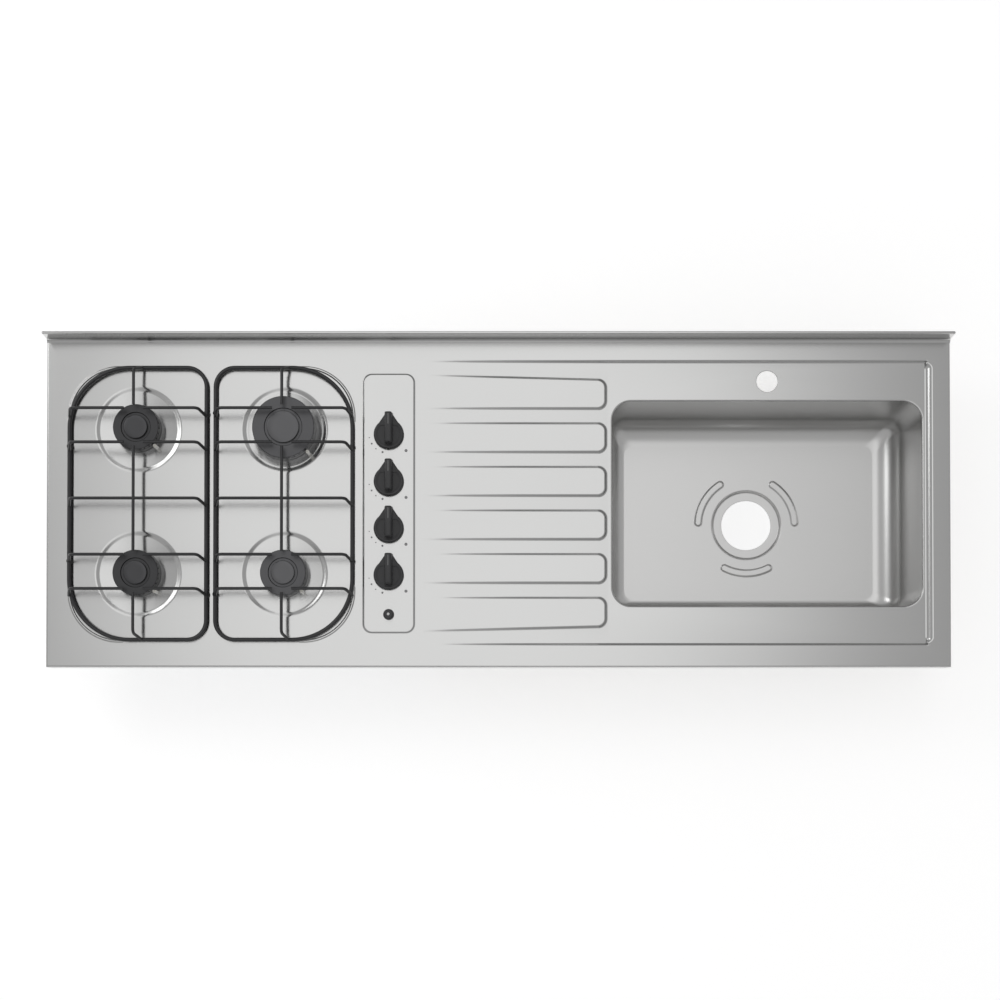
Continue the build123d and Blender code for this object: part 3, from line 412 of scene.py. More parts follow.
def step_down(bm: bmesh.types.BMesh, faces: list[bmesh.types.BMFace], wall: float, start: float,
              change: Callable[[Vector], float], steps: int = 6) -> None:
    """Press a region up or down behind a soft wall with a flat rim on both sides.

    Args:
        bm: The mesh.
        faces: The region.
        wall: The wall's width.
        start: The height outside.
        change: How far the region goes up at a place.
        steps: How many rings the wall has.
    """
    rings = [MARGIN] + [MARGIN + distance for distance in even_steps(wall, steps)] + [wall + 2 * MARGIN]
    press(bm, faces, rings,
          lambda place, distance: start + change(place) * ease((distance - MARGIN) / wall))


def capsule(length: float, width: float, height: float) -> bmesh.types.BMesh:
    """Draw a flat strip with round ends along X, about the origin.

    Args:
        length: Its length over the round ends.
        width: Its width.
        height: Its height above the ground.

    Returns:
        The strip as one face.
    """
    bm = bmesh.new()
    outline(bm, rectangle((0.0, 0.0), length, width), [width / 2 - SAME] * 4, height, 10)
    bmesh.ops.remove_doubles(bm, verts=bm.verts, dist=4 * SAME)
    return bm


def bend(bm: bmesh.types.BMesh, radius: float, sweep: float) -> None:
    """Bend what lies along X round the origin, with its middle on the X axis and its ends straight.

    Args:
        bm: The mesh.
        radius: The bend's radius along the middle line.
        sweep: The angle that is bent; what lies beyond runs on straight.
    """
    half = radius * sweep / 2
    count = max(int(2 * half / BEND_STEP), 8)
    for index in range(count + 1):
        slice_at(bm, half * (2 * index / count - 1))
    for point in bm.verts:
        along = min(max(point.co.x, -half), half)
        turn = Matrix.Rotation(along / radius, 3, "Z")
        height = point.co.z
        point.co = turn @ Vector((radius - point.co.y, point.co.x - along, 0.0))
        point.co.z = height
    bmesh.ops.recalc_face_normals(bm, faces=bm.faces)


@dataclass(frozen=True)
class BentRib:
    """A low rib with round ends, bent round a middle."""

    radius: float
    sweep: float
    tails: float
    width: float
    wall: float
    rise: float

    def build(self, middle: Sequence[float], height: float, bearing: float) -> bmesh.types.BMesh:
        """Press the rib.

        Args:
            middle: What it bends round, as x and y.
            height: The height of the sheet.
            bearing: The direction of the rib's middle, in degrees.

        Returns:
            The rib.
        """
        bm = capsule(self.radius * self.sweep + self.tails + self.width, self.width, height)
        step_down(bm, list(bm.faces), self.wall, height, lambda place: self.rise, 4)
        bend(bm, self.radius, self.sweep)
        turn = Matrix.Translation((*middle, 0.0)) @ Matrix.Rotation(math.radians(bearing), 4, "Z")
        bmesh.ops.transform(bm, matrix=turn, verts=bm.verts)
        return bm


def open_up(bm: bmesh.types.BMesh, faces: Iterable[bmesh.types.BMFace]) -> None:
    """Take faces away and leave their edges."""
    bmesh.ops.delete(bm, geom=list(faces), context="FACES_ONLY")


def take_in(bm: bmesh.types.BMesh, other: bmesh.types.BMesh) -> None:
    """Move another mesh's contents into this one.

    Args:
        bm: The mesh that grows.
        other: The other mesh, which is used up.
    """
    carrier = bpy.data.meshes.new("carrier")
    other.to_mesh(carrier)
    other.free()
    bm.from_mesh(carrier)
    bpy.data.meshes.remove(carrier)


def loose_edges_at(bm: bmesh.types.BMesh, height: float, beyond: float = FAR_LEFT
                   ) -> list[bmesh.types.BMEdge]:
    """Find the open edges that lie at one height.

    Args:
        bm: The mesh.
        height: The height.
        beyond: The least x that counts.

    Returns:
        The edges with a face on one side at most.
    """
    return [
        edge for edge in bm.edges
        if len(edge.link_faces) < 2
        and all(abs(point.co.z - height) < NEAR and point.co.x > beyond - NEAR for point in edge.verts)
    ]


def fill_between(bm: bmesh.types.BMesh, height: float, beyond: float = FAR_LEFT) -> None:
    """Fill the flat area between the open edges at one height, past a least x."""
    edges = loose_edges_at(bm, height, beyond)
    bmesh.ops.triangle_fill(bm, use_beauty=True, use_dissolve=False, edges=edges, normal=UPRIGHT)


def roll_down(bm: bmesh.types.BMesh, faces: list[bmesh.types.BMFace], height: float, roll: float, steps: int
              ) -> None:
    """Roll a region's edge down and open the region.

    Args:
        bm: The mesh.
        faces: The region.
        height: The sheet's height.
        roll: The radius of the rolled edge.
        steps: How many rings the edge has.
    """
    press(bm, faces, [roll * math.sin(turn) for turn in even_steps(QUARTER, steps)],
          lambda place, distance: height - roll + math.sqrt(max(roll ** 2 - distance ** 2, 0.0)))
    open_up(bm, faces)


def hole(centre: Sequence[float], radius: float, height: float, roll: float, segments: int = 48
         ) -> bmesh.types.BMesh:
    """Make a round hole's edge, rolled down.

    Args:
        centre: The hole's middle, as x and y.
        radius: The hole's radius.
        height: The sheet's height there.
        roll: The radius of the rolled edge.
        segments: How many edges round the hole.

    Returns:
        The ring of the rolled edge.
    """
    ring = disc(centre, radius + roll, height, segments)
    roll_down(ring, list(ring.faces), height, roll, 4)
    return ring


def turned(profile: Sequence[tuple[float, float]], centre: Sequence[float], steps: int = 64
           ) -> bmesh.types.BMesh:
    """Turn an outline all the way round an upright axis.

    Args:
        profile: The outline's points, as radius and height.
        centre: The axis, as x and y.
        steps: How many sides the piece has.

    Returns:
        The turned mesh.
    """
    bm = bmesh.new()
    points = [bm.verts.new((centre[0] + radius, centre[1], height)) for radius, height in profile]
    lines = [bm.edges.new(pair) for pair in zip(points, points[1:])]
    bmesh.ops.spin(bm, geom=points + lines, cent=(*centre, 0.0), axis=UPRIGHT, angle=math.tau, steps=steps,
                   use_merge=True)
    bmesh.ops.remove_doubles(bm, verts=bm.verts, dist=SAME)
    bmesh.ops.recalc_face_normals(bm, faces=bm.faces)
    return bm


def soft_block(points: Sequence[Sequence[float]], bottom: float, top: float, inset: float, radius: float
               ) -> bmesh.types.BMesh:
    """Make a block with a drawn-in top and soft edges.

    Args:
        points: The base's corners in turn, as x and y.
        bottom: The base's height.
        top: The top's height.
        inset: How far the top is drawn in.
        radius: The radius of the edges.

    Returns:
        The closed block.
    """
    bm = bmesh.new()
    base = outline(bm, points, [0.0] * len(points), bottom)
    made = bmesh.ops.extrude_face_region(bm, geom=[base])["geom"]
    lid = [item for item in made if isinstance(item, bmesh.types.BMFace)]
    bmesh.ops.translate(bm, verts=lid[0].verts, vec=(0.0, 0.0, top - bottom))
    middle = lid[0].calc_center_median()
    for point in lid[0].verts:
        side = point.co - middle
        point.co.x -= math.copysign(min(inset, abs(side.x)), side.x)
        point.co.y -= math.copysign(min(inset, abs(side.y)), side.y)
    bmesh.ops.recalc_face_normals(bm, faces=bm.faces)
    upper = [edge for edge in bm.edges if max(point.co.z for point in edge.verts) > bottom + NEAR]
    round_off(bm, upper, radius, 4)
    return bm


def grain_map(mesh: bpy.types.Mesh) -> None:
    """Lay a UV map whose U runs along Y, across the brushing."""
    layer = mesh.uv_layers.new(name="grain")
    for loop in mesh.loops:
        place = mesh.vertices[loop.vertex_index].co
        layer.data[loop.index].uv = (place.y, place.x)


@dataclass(frozen=True)
class Place:
    """Where a piece belongs: the body it rides on and the nodes that it stands for, with a slot name that is
    not used.
    """

    body: str
    slot: str
    nodes: tuple[str, ...] = ()


def finished(bm: bmesh.types.BMesh, name: str, finish: Finish, place: Place, crease: float = 35.0
             ) -> bpy.types.Object:
    """Turn a mesh into a dressed piece.

    Args:
        bm: The mesh, which is used up.
        name: The piece's name.
        finish: The piece's finish.
        place: Where the piece belongs.
        crease: The angle in degrees past which an edge is sharp.

    Returns:
        The piece.
    """
    mesh = bpy.data.meshes.new(name)
    bm.to_mesh(mesh)
    bm.free()
    mesh.shade_smooth()
    mesh.set_sharp_from_angle(angle=math.radians(crease))
    mesh.materials.append(finish.material())
    made = bpy.data.objects.new(name, mesh)
    bpy.context.scene.collection.objects.link(made)
    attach(made, place.body)
    if place.nodes:
        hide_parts(*place.nodes)
    LOG.info("%s: %d faces on %s", name, len(mesh.polygons), place.body)
    return made


def thicken(made: bpy.types.Object, thickness: float) -> None:
    """Give a sheet its thickness, away from its faces, and keep its flats flat.

    Args:
        made: The piece.
        thickness: The sheet's thickness.
    """
    solid = made.modifiers.new("thickness", "SOLIDIFY")
    solid.thickness = thickness
    solid.offset = -1.0
    made.modifiers.new("flats", "WEIGHTED_NORMAL")


def face_up(bm: bmesh.types.BMesh) -> None:
    """Turn an open sheet's faces to look up or inwards, all to one side."""
    bmesh.ops.recalc_face_normals(bm, faces=bm.faces)
    if sum(face.normal.z * face.calc_area() for face in bm.faces) < 0.0:
        bmesh.ops.reverse_faces(bm, faces=bm.faces)


@dataclass
class WorktopSheet:
    """The pressed top: control panel, wells, ribs, drainer and sink opening in one sheet."""

    length: float = LENGTH
    front: float = -0.275
    cove_start: float = COVE_START
    roll: float = 0.003
    thickness: float = SHEET
    panel_size: tuple[float, float] = (0.088, 0.433)
    panel_y: float = -0.0032
    panel_corner: float = 0.016
    panel_wall: float = 0.003
    burner_holes: tuple[float, ...] = (0.033, 0.0465, 0.033, 0.033)
    well_radius: float = 0.0725
    well_wall: float = 0.0095
    well_step: float = 0.0018
    flange: float = 0.007
    rib_corners: tuple[tuple[float, float, float], ...] = (
        (-0.629, 0.13955, 135.0), (-0.323, 0.13955, 45.0),
        (-0.629, -0.14895, 225.0), (-0.323, -0.14895, 315.0))
    rib_radius: float = 0.083
    rib_tail: float = 0.006
    rib_width: float = 0.006
    rib_wall: float = 0.00168
    rib_height: float = 0.0016
    pocket_x: tuple[float, float] = (-0.1265, 0.7212)
    pocket_y: tuple[float, float] = (-0.240, 0.236)
    pocket_corner: float = 0.014
    pad_end: float = 0.1749
    pad_count: int = 6
    pad_pitch: float = 0.0725
    pad_y: float = -0.0025
    pad_half: float = 0.0209
    pad_flare: float = 0.0075
    pad_corner: float = 0.010
    slope_end: float = 0.182
    slope_cuts: tuple[float, float] = (0.05, 0.15)
    wall: float = 0.005
    right_wall: float = 0.0112
    sink_size: tuple[float, float] = SINK_SIZE
    sink_corner: float = SINK_CORNER
    sink_roll: float = 0.0025
    tap_y: float = 0.2005
    tap_radius: float = 0.0175
    tap_roll: float = 0.001

    def build(self) -> bpy.types.Object:
        """Press the whole sheet.

        Returns:
            The piece that stands for the worktop's top.
        """
        bm = bmesh.new()
        for form in (self.panel(), self.drainer()):
            take_in(bm, form)
        rib = BentRib(self.rib_radius, QUARTER, 2 * self.rib_tail, self.rib_width, self.rib_wall,
                      self.rib_height)
        for x, y, bearing in self.rib_corners:
            take_in(bm, rib.build((x, y), TOP, bearing))
        for middle, hole_radius in zip(BURNER_PLACES, self.burner_holes):
            take_in(bm, self.well(middle, hole_radius))
        self.plate(bm)
        bmesh.ops.remove_doubles(bm, verts=bm.verts, dist=SAME)
        face_up(bm)
        place = Place(ROOT, "worktop_steel", ("worktop_sheet",))
        made = finished(bm, "worktop_sheet_pressed", SHEET_STEEL, place)
        grain_map(made.data)
        thicken(made, self.thickness)
        return made

    def panel(self) -> bmesh.types.BMesh:
        """Press the raised control panel.

        Returns:
            The panel with its soft wall.
        """
        bm = bmesh.new()
        face = outline(bm, rectangle((PANEL_X, self.panel_y), *self.panel_size), [self.panel_corner] * 4, TOP)
        step_down(bm, [face], self.panel_wall, TOP, lambda place: PANEL_TOP - TOP)
        return bm

    def well(self, middle: tuple[float, float], hole_radius: float) -> bmesh.types.BMesh:
        """Press the dish around one burner.

        Args:
            middle: The burner's middle, as x and y.
            hole_radius: The radius of the hole for the burner's cup.

        Returns:
            The dish, open in the middle.
        """
        bm = disc(middle, self.well_radius, TOP)
        inner = list(bm.faces)
        step_down(bm, inner, self.well_wall, TOP, lambda place: -self.well_step, 8)
        rest = self.well_radius - self.well_wall - 2 * MARGIN - hole_radius
        press(bm, inner, [rest - self.flange, rest], lambda place, distance: WELL_FLOOR)
        open_up(bm, inner)
        return bm

    def depth(self, x: float) -> float:
        """Give the pocket's depth at a place along the front."""
        share = (x - self.pocket_x[0]) / (self.slope_end - self.pocket_x[0])
        return (TOP - POCKET_FLOOR) * min(max(share, 0.0), 1.0)

    def drainer(self) -> bmesh.types.BMesh:
        """Press the sunk area: channels between the pads, the floor round the sink and its openings.

        Returns:
            The pocket with the sink's rolled edge and the tap hole.
        """
        bm = bmesh.new()
        left, right = self.pocket_x
        low, high = self.pocket_y
        points = [(left, low), (right, low), (right, high), (left, high)]
        radii = [0.0, self.pocket_corner, self.pocket_corner, 0.0]
        for index in reversed(range(self.pad_count)):
            y = self.pad_y + self.pad_pitch * (index - (self.pad_count - 1) / 2)
            upper = y + self.pad_half
            lower = y - self.pad_half
            flare_up = self.pad_flare if index == self.pad_count - 1 else 0.0
            flare_down = self.pad_flare if index == 0 else 0.0
            points += [(left, upper + flare_up), (self.pad_end, upper), (self.pad_end, lower),
                       (left, lower - flare_down)]
            radii += [0.0, self.pad_corner, self.pad_corner, 0.0]
        outline(bm, points, radii, TOP)
        for x in (*(left + reach for reach in self.slope_cuts), self.slope_end):
            slice_at(bm, x)
        floor = list(bm.faces)
        step_down(bm, floor, self.wall, TOP, lambda place: -self.depth(place.x), 7)
        reach = self.wall + 2 * MARGIN
        for point in bm.verts:
            inward = right - point.co.x
            if inward < reach + SAME:
                point.co.x = right - inward * self.right_wall / self.wall
        level = [face for face in floor if all(point.co.x > self.slope_end - SAME for point in face.verts)]
        open_up(bm, level)
        take_in(bm, self.sink_opening())
        take_in(bm, hole((SINK_X, self.tap_y), self.tap_radius, POCKET_FLOOR, self.tap_roll))
        fill_between(bm, POCKET_FLOOR, self.slope_end)
        return bm

    def sink_opening(self) -> bmesh.types.BMesh:
        """Roll the sheet down round the sink.

        Returns:
            The rolled edge, open in the middle.
        """
        bm = bmesh.new()
        rim = self.sink_roll + MARGIN
        length, width = (size + 2 * rim for size in self.sink_size)
        face = outline(bm, rectangle((SINK_X, SINK_Y), length, width), [self.sink_corner + rim] * 4,
                       POCKET_FLOOR, 12)
        press(bm, [face], [MARGIN], lambda place, distance: POCKET_FLOOR)
        roll_down(bm, [face], POCKET_FLOOR, self.sink_roll, 6)
        return bm

    def plate(self, bm: bmesh.types.BMesh) -> None:
        """Fill the flat top round every form and roll its front and ends down to the fold.

        Args:
            bm: The mesh with every form.
        """
        end = self.length / 2 - self.roll
        front = self.front + self.roll
        corners = [bm.verts.new((x, y, TOP)) for x, y in (
            (-end, self.cove_start), (-end, front), (end, front), (end, self.cove_start))]
        rim = [bm.edges.new(pair) for pair in zip(corners, corners[1:])]
        bm.edges.new((corners[3], corners[0]))
        fill_between(bm, TOP)
        for turn in even_steps(QUARTER, 5):
            out = self.roll * math.sin(turn)
            made = bmesh.ops.extrude_edge_only(bm, edges=rim)["geom"]
            rim = [item for item in made if isinstance(item, bmesh.types.BMEdge)]
            for point in {point for edge in rim for point in edge.verts}:
                point.co.x = math.copysign(end + out, point.co.x)
                if point.co.y < self.cove_start - SAME:
                    point.co.y = front - out
                point.co.z = TOP - self.roll + self.roll * math.cos(turn)


@dataclass
class Upstand:
    """The folded upstand along the back, with its cove."""

    length: float = LENGTH
    cove_start: float = COVE_START
    cove: float = 0.006
    face: float = 0.270
    back: float = 0.275
    height: float = 0.082
    edge: float = 0.002
    thickness: float = SHEET
    end_radius: float = 0.0022

    def build(self) -> bpy.types.Object:
        """Fold the upstand.

        Returns:
            The piece that stands for the upstand.
        """
        bm = bmesh.new()
        section = [(self.cove_start + self.cove * math.sin(turn), TOP + self.cove * (1 - math.cos(turn)))
                   for turn in arc_turns(6)]
        for middle, start in ((self.face + self.edge, math.pi), (self.back - self.edge, QUARTER)):
            section += [(middle + self.edge * math.cos(start - turn),
                         self.height - self.edge + self.edge * math.sin(start - turn))
                        for turn in arc_turns(4)]
        inner = self.back - self.thickness
        section += [(self.back, FOLD), (inner, FOLD), (inner, TOP - self.thickness),
                    (self.cove_start, TOP - self.thickness)]
        points = [bm.verts.new((-self.length / 2, y, z)) for y, z in section]
        end = bm.faces.new(points)
        made = bmesh.ops.extrude_face_region(bm, geom=[end])["geom"]
        moved = [item for item in made if isinstance(item, bmesh.types.BMVert)]
        bmesh.ops.translate(bm, verts=moved, vec=(self.length, 0.0, 0.0))
        bmesh.ops.recalc_face_normals(bm, faces=bm.faces)
        ends = [edge for edge in bm.edges
                if abs(edge.verts[0].co.x - edge.verts[1].co.x) < NEAR
                and min(point.co.z for point in edge.verts) > TOP + self.cove]
        round_off(bm, ends, self.end_radius, 3)
        made = finished(bm, "upstand_folded", SHEET_STEEL, Place(ROOT, "worktop_steel", ("back_upstand",)))
        grain_map(made.data)
        made.modifiers.new("flats", "WEIGHTED_NORMAL")
        return made


@dataclass
class SinkBowl:
    """The pressed bowl with its recess, raised arcs and drain hole."""

    size: tuple[float, float] = SINK_SIZE
    corner: float = SINK_CORNER
    least_corner: float = 0.016
    rim: float = 0.033
    floor: float = -0.1375
    draft: float = 0.0524
    floor_radius: float = 0.040
    reach: tuple[float, float, float, float] = (0.64, 1.06, 0.52, 1.04)
    thickness: float = SHEET
    drain: tuple[float, float] = (0.4328, -0.019)
    recess_radius: float = 0.062
    recess_depth: float = 0.005
    recess_wall: float = 0.0048
    drain_radius: float = 0.0430
    drain_roll: float = 0.0008
    arc_radii: tuple[float, float] = (0.0765, 0.0920)
    arc_raise: float = 0.002
    arc_wall: float = 0.0034
    arc_sweep: float = 54.0
    arc_bearings: tuple[float, ...] = (30.0, 150.0, 270.0)

    def build(self) -> bpy.types.Object:
        """Press the bowl.

        Returns:
            The piece that stands for the bowl and the dish round its drain.
        """
        bm = self.walls()
        take_in(bm, self.recess())
        inner, outer = self.arc_radii
        arc = BentRib((inner + outer) / 2, math.radians(self.arc_sweep), 0.0, outer - inner, self.arc_wall,
                      self.arc_raise)
        for bearing in self.arc_bearings:
            take_in(bm, arc.build(self.drain, self.floor, bearing))
        fill_between(bm, self.floor)
        bmesh.ops.remove_doubles(bm, verts=bm.verts, dist=SAME)
        face_up(bm)
        place = Place(ROOT, "bowl_steel", ("sink_bowl", "drain_dish"))
        made = finished(bm, "sink_bowl_pressed", BOWL_STEEL, place)
        grain_map(made.data)
        thicken(made, self.thickness)
        return made

    def walls(self) -> bmesh.types.BMesh:
        """Draw the leaning walls and the wide radius at their foot, ring by ring.

        The foot reaches further in on the right and at the back, by the reach's shares
        for left, right, front and back.

        Returns:
            The walls, open at the top and at the floor.
        """
        radius = self.floor_radius
        lean = (self.rim - self.floor - radius) * self.draft
        rings = [(0.0, self.rim)]
        rings += [(lean + radius * (1 - math.cos(turn)), self.floor + radius * (1 - math.sin(turn)))
                  for turn in arc_turns(12)]
        rings.append((lean + radius + MARGIN, self.floor))
        bm = bmesh.new()
        before: list[bmesh.types.BMEdge] = []
        for inset, height in rings:
            flat = bmesh.new()
            left, right, front, back = (inset * share for share in self.reach)
            middle = (SINK_X + (left - right) / 2, SINK_Y + (front - back) / 2)
            corners = rectangle(middle, self.size[0] - left - right, self.size[1] - front - back)
            face = outline(flat, corners, [max(self.corner - inset, self.least_corner)] * 4, height, 12)
            points = [bm.verts.new(point.co) for point in face.verts]
            flat.free()
            loop = [bm.edges.new(pair) for pair in zip(points, points[1:] + points[:1])]
            if before:
                bmesh.ops.bridge_loops(bm, edges=before + loop)
            before = loop
        return bm

    def recess(self) -> bmesh.types.BMesh:
        """Press the dish round the drain and roll the hole's edge down.

        Returns:
            The dish, open in the middle.
        """
        bm = disc(self.drain, self.recess_radius, self.floor)
        inner = list(bm.faces)
        step_down(bm, inner, self.recess_wall, self.floor, lambda place: -self.recess_depth)
        open_up(bm, inner)
        low = self.floor - self.recess_depth
        take_in(bm, hole(self.drain, self.drain_radius, low, self.drain_roll, 72))
        fill_between(bm, low)
        return bm


@dataclass
class Burner:
    """One burner: its cup, its crown with flame ports and its lift-off cap."""

    number: int
    place: tuple[float, float]
    skirt: float
    crown: float
    cap: float
    crown_finish: Finish
    cap_finish: Finish
    cup_bottom: float = 0.010
    cup_top: float = 0.040
    cup_flange: float = 0.006
    cup_wall: float = 0.003
    cup_bore: float = 0.005
    crown_wall: float = 0.0035
    crown_top: float = 0.068
    port_sill: float = 0.057
    port_roof: float = 0.002
    port_pitch: float = 0.0085
    port_reach: float = 0.0042
    land_share: float = 0.74
    groove: float = 0.0045
    groove_depth: float = 0.002
    cap_bottom: float = 0.0682
    cap_top: float = 0.071
    cap_edge: float = 0.0011
    stem: float = 0.007
    stem_bottom: float = 0.0622
    stem_gap: float = 0.0001
    stem_socket: float = 0.004

    def build(self) -> list[bpy.types.Object]:
        """Make the cup, the crown and the cap."""
        return [self.make_cup(), self.make_crown(), self.make_cap()]

    def make_cup(self) -> bpy.types.Object:
        """Turn the cup that stands in the well.

        Returns:
            The piece that stands for the cup.
        """
        low = self.cup_bottom
        body = self.skirt - self.cup_flange
        inside = body - self.cup_wall
        bed = low + self.cup_wall
        profile = [
            (self.cup_bore, low), (body - 0.001, low), (body, low + 0.001), (body, WELL_FLOOR),
            (self.skirt - 0.0006, WELL_FLOOR), (self.skirt, WELL_FLOOR + 0.0006), (self.skirt, self.cup_top),
            (inside, self.cup_top), (inside, bed), (self.cup_bore, bed), (self.cup_bore, low),
        ]
        return finished(turned(profile, self.place), f"cup_turned_{self.number}", CAST_ALLOY,
                        Place(ROOT, "cup_alloy", (f"burner_cup_{self.number}",)))

    def make_crown(self) -> bpy.types.Object:
        """Turn the crown and set the lands between its flame ports.

        Returns:
            The piece that stands for the crown.
        """
        core = self.crown - self.port_reach
        ring = self.cap + self.groove
        seat = self.cap - 0.001
        wall = self.crown - self.crown_wall
        bore = self.stem + self.stem_gap
        sill = self.port_sill
        top = self.crown_top
        roof = top - self.port_roof
        low = top - self.groove_depth
        profile = [
            (wall, self.cup_top), (self.skirt, self.cup_top), (self.skirt - 0.0004, self.cup_top + 0.0012),
            (self.slant(sill - 0.0004), sill - 0.0004), (self.slant(sill) - 0.0006, sill), (core, sill),
            (core, roof), (self.slant(roof) - 0.0003, roof), (self.slant(roof), roof + 0.0003),
            (self.crown, top - 0.0008), (self.crown - 0.0008, top),
            (ring + 0.0006, top), (ring, top - 0.0006),
            (ring - 0.0004, low), (seat + 0.0004, low), (seat, top - 0.0004), (seat - 0.0005, top),
            (bore, top), (bore, top - self.stem_socket), (wall, top - 0.005), (wall, self.cup_top),
        ]
        bm = turned(profile, self.place)
        take_in(bm, self.lands(core, roof))
        place = Place(ROOT, "crown_alloy", (f"burner_crown_{self.number}",))
        return finished(bm, f"crown_cast_{self.number}", self.crown_finish, place)

    def slant(self, height: float) -> float:
        """Give the crown's outer radius at a height."""
        share = (height - self.cup_top) / (self.crown_top - self.cup_top)
        return self.skirt + (self.crown - self.skirt) * share

    def lands(self, core: float, roof: float) -> bmesh.types.BMesh:
        """Make the lands that stand between the flame ports.

        Args:
            core: The radius that the lands stand out from.
            roof: The height of the rim over the ports.

        Returns:
            The ring of separate lands.
        """
        bm = bmesh.new()
        section = [(core, self.port_sill), (self.slant(self.port_sill) - 0.0005, self.port_sill),
                   (self.slant(roof) - 0.0004, roof), (core, roof)]
        count = int(math.tau * self.crown / self.port_pitch)
        points = [bm.verts.new((self.place[0] + radius, self.place[1], height)) for radius, height in section]
        face = bm.faces.new(points)
        section = points + list(face.edges) + [face]
        axle = (*self.place, 0.0)
        bmesh.ops.spin(bm, geom=section, cent=axle, axis=UPRIGHT, angle=math.tau / count * self.land_share,
                       steps=2)
        bmesh.ops.recalc_face_normals(bm, faces=bm.faces)
        bmesh.ops.spin(bm, geom=bm.verts[:] + bm.edges[:] + bm.faces[:], cent=axle, axis=UPRIGHT,
                       angle=math.tau, steps=count, use_duplicate=True)
        bmesh.ops.remove_doubles(bm, verts=bm.verts, dist=SAME)
        return bm

    def make_cap(self) -> bpy.types.Object:
        """Turn the lift-off cap with its stem.

        Returns:
            The piece that stands for the cap.
        """
        edge = self.cap_edge
        profile = [(0.0, self.cap_top - 0.0002), (self.cap * 0.6, self.cap_top - 0.0001)]
        profile += [(self.cap - edge + edge * math.sin(turn), self.cap_top - edge + edge * math.cos(turn))
                    for turn in arc_turns(4)]
        profile += [(self.cap, self.cap_bottom + 0.0003), (self.cap - 0.0003, self.cap_bottom),
                    (self.stem, self.cap_bottom), (self.stem, self.stem_bottom + 0.0008),
                    (self.stem - 0.0008, self.stem_bottom), (0.0, self.stem_bottom)]
        body = f"burner_cap_{self.number}"
        return finished(turned(profile, self.place), f"cap_turned_{self.number}", self.cap_finish,
                        Place(body, "cap_enamel", (body,)))


@dataclass
class Knob:
    """One control knob: a dished skirt, a grip bar and a pointer nose."""

    number: int
    y: float
    bottom: float = 0.0466
    skirt_top: float = 0.0526
    top: float = 0.0686
    radius: float = 0.025
    grip_half: float = 0.0069
    grip_front: float = 0.0358
    grip_back: float = 0.0168
    nose_root: float = 0.0198
    nose_start: float = 0.013
    nose_end: float = 0.0325
    foot: float = 0.0006
    dish: float = 0.0010
    line_half: float = 0.0011
    line_span: tuple[float, float] = (0.014, 0.0315)
    line_sunk: float = 0.0004
    line_proud: float = 0.00005

    def build(self) -> list[bpy.types.Object]:
        """Make the knob's pieces.

        Returns:
            The knob and its pointer line.
        """
        rim = self.radius
        high = self.skirt_top
        base = self.bottom + self.foot
        profile = [
            (0.0, self.bottom), (rim - self.foot, self.bottom), (rim, base), (rim - 0.0009, high - 0.0012),
            (rim - 0.0019, high - 0.0002), (rim - 0.0032, high), (rim - 0.0052, high - 0.0006),
            (rim - 0.0090, high - self.dish), (0.0, high - self.dish),
        ]
        bm = turned(profile, (PANEL_X, self.y), 72)
        grip = self.wedge((self.grip_half, -self.grip_back), (self.grip_half, self.grip_front))
        take_in(bm, soft_block(grip, base, self.top, 0.0012, 0.0026))
        nose = self.wedge((self.nose_root, self.nose_start), (self.grip_half, self.nose_end))
        take_in(bm, soft_block(nose, base, high, 0.0005, 0.0014))
        body = f"knob_{self.number}"
        place = Place(body, "knob_plastic", (body,))
        knob = finished(bm, f"knob_moulded_{self.number}", BLACK_PLASTIC, place)
        start, end = self.line_span
        line = self.wedge((self.line_half, start), (self.line_half, end))
        mark = soft_block(line, self.top - self.line_sunk, self.top + self.line_proud, 0.0, 0.0002)
        return [knob, finished(mark, f"knob_line_{self.number}", DIM_INK, Place(body, "knob_plastic"))]

    def wedge(self, front: tuple[float, float], back: tuple[float, float]) -> list[tuple[float, float]]:
        """Give the corners of a form that is even about the knob's middle line.

        Args:
            front: The half width at the front and how far from the knob's middle it is.
            back: The same at the back.

        Returns:
            The four corners, as x and y.
        """
        (near, low), (far, high) = front, back
        corners = ((-near, low), (near, low), (far, high), (-far, high))
        return [(PANEL_X + x, self.y + y) for x, y in corners]


@dataclass
class PanelPrint:
    """The plain printed marks beside one knob."""

    number: int
    y: float
    height: float = 0.00006
    dot: tuple[float, float, float] = (0.0285, -0.0265, 0.0026)
    small_dots: tuple[tuple[float, float, float], ...] = (
        (-0.0325, -0.0050, 0.0010), (-0.0285, -0.0150, 0.0016),
        (-0.0215, -0.0235, 0.0011), (-0.0105, -0.0290, 0.0018))

    def build(self) -> bpy.types.Object:
        """Print the marks.

        Returns:
            The thin piece of ink.
        """
        bm = bmesh.new()
        for x, y, radius in (self.dot, *self.small_dots):
            top = PANEL_TOP + self.height
            profile = [(0.0, top), (radius, top), (radius, PANEL_TOP - 0.0001)]
            take_in(bm, turned(profile, (PANEL_X + x, self.y + y), 20))
        return finished(bm, f"panel_print_{self.number}", GREY_INK, Place(ROOT, "collar_plastic"))


@dataclass
class ButtonPaintedHighlight:
    """A painted highlight: a pale round disc in the igniter button's top, standing for the bright spot of
    light on it.
    """

    radius: float = 0.0022
    height: float = 0.00008

    def build(self) -> bpy.types.Object:
        """Set the painted highlight, a pale disc, in the button's top.

        Returns:
            The thin disc.
        """
        low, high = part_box("igniter_button")
        middle = [(low[axis] + high[axis]) / 2 for axis in range(2)]
        top = high[2] + self.height
        profile = [(0.0, top), (self.radius, top), (self.radius, high[2] - 0.0004)]
        return finished(turned(profile, middle, 32), "igniter_painted_highlight", HIGHLIGHT_PAINT,
                        Place("igniter_button", "button_plastic"))


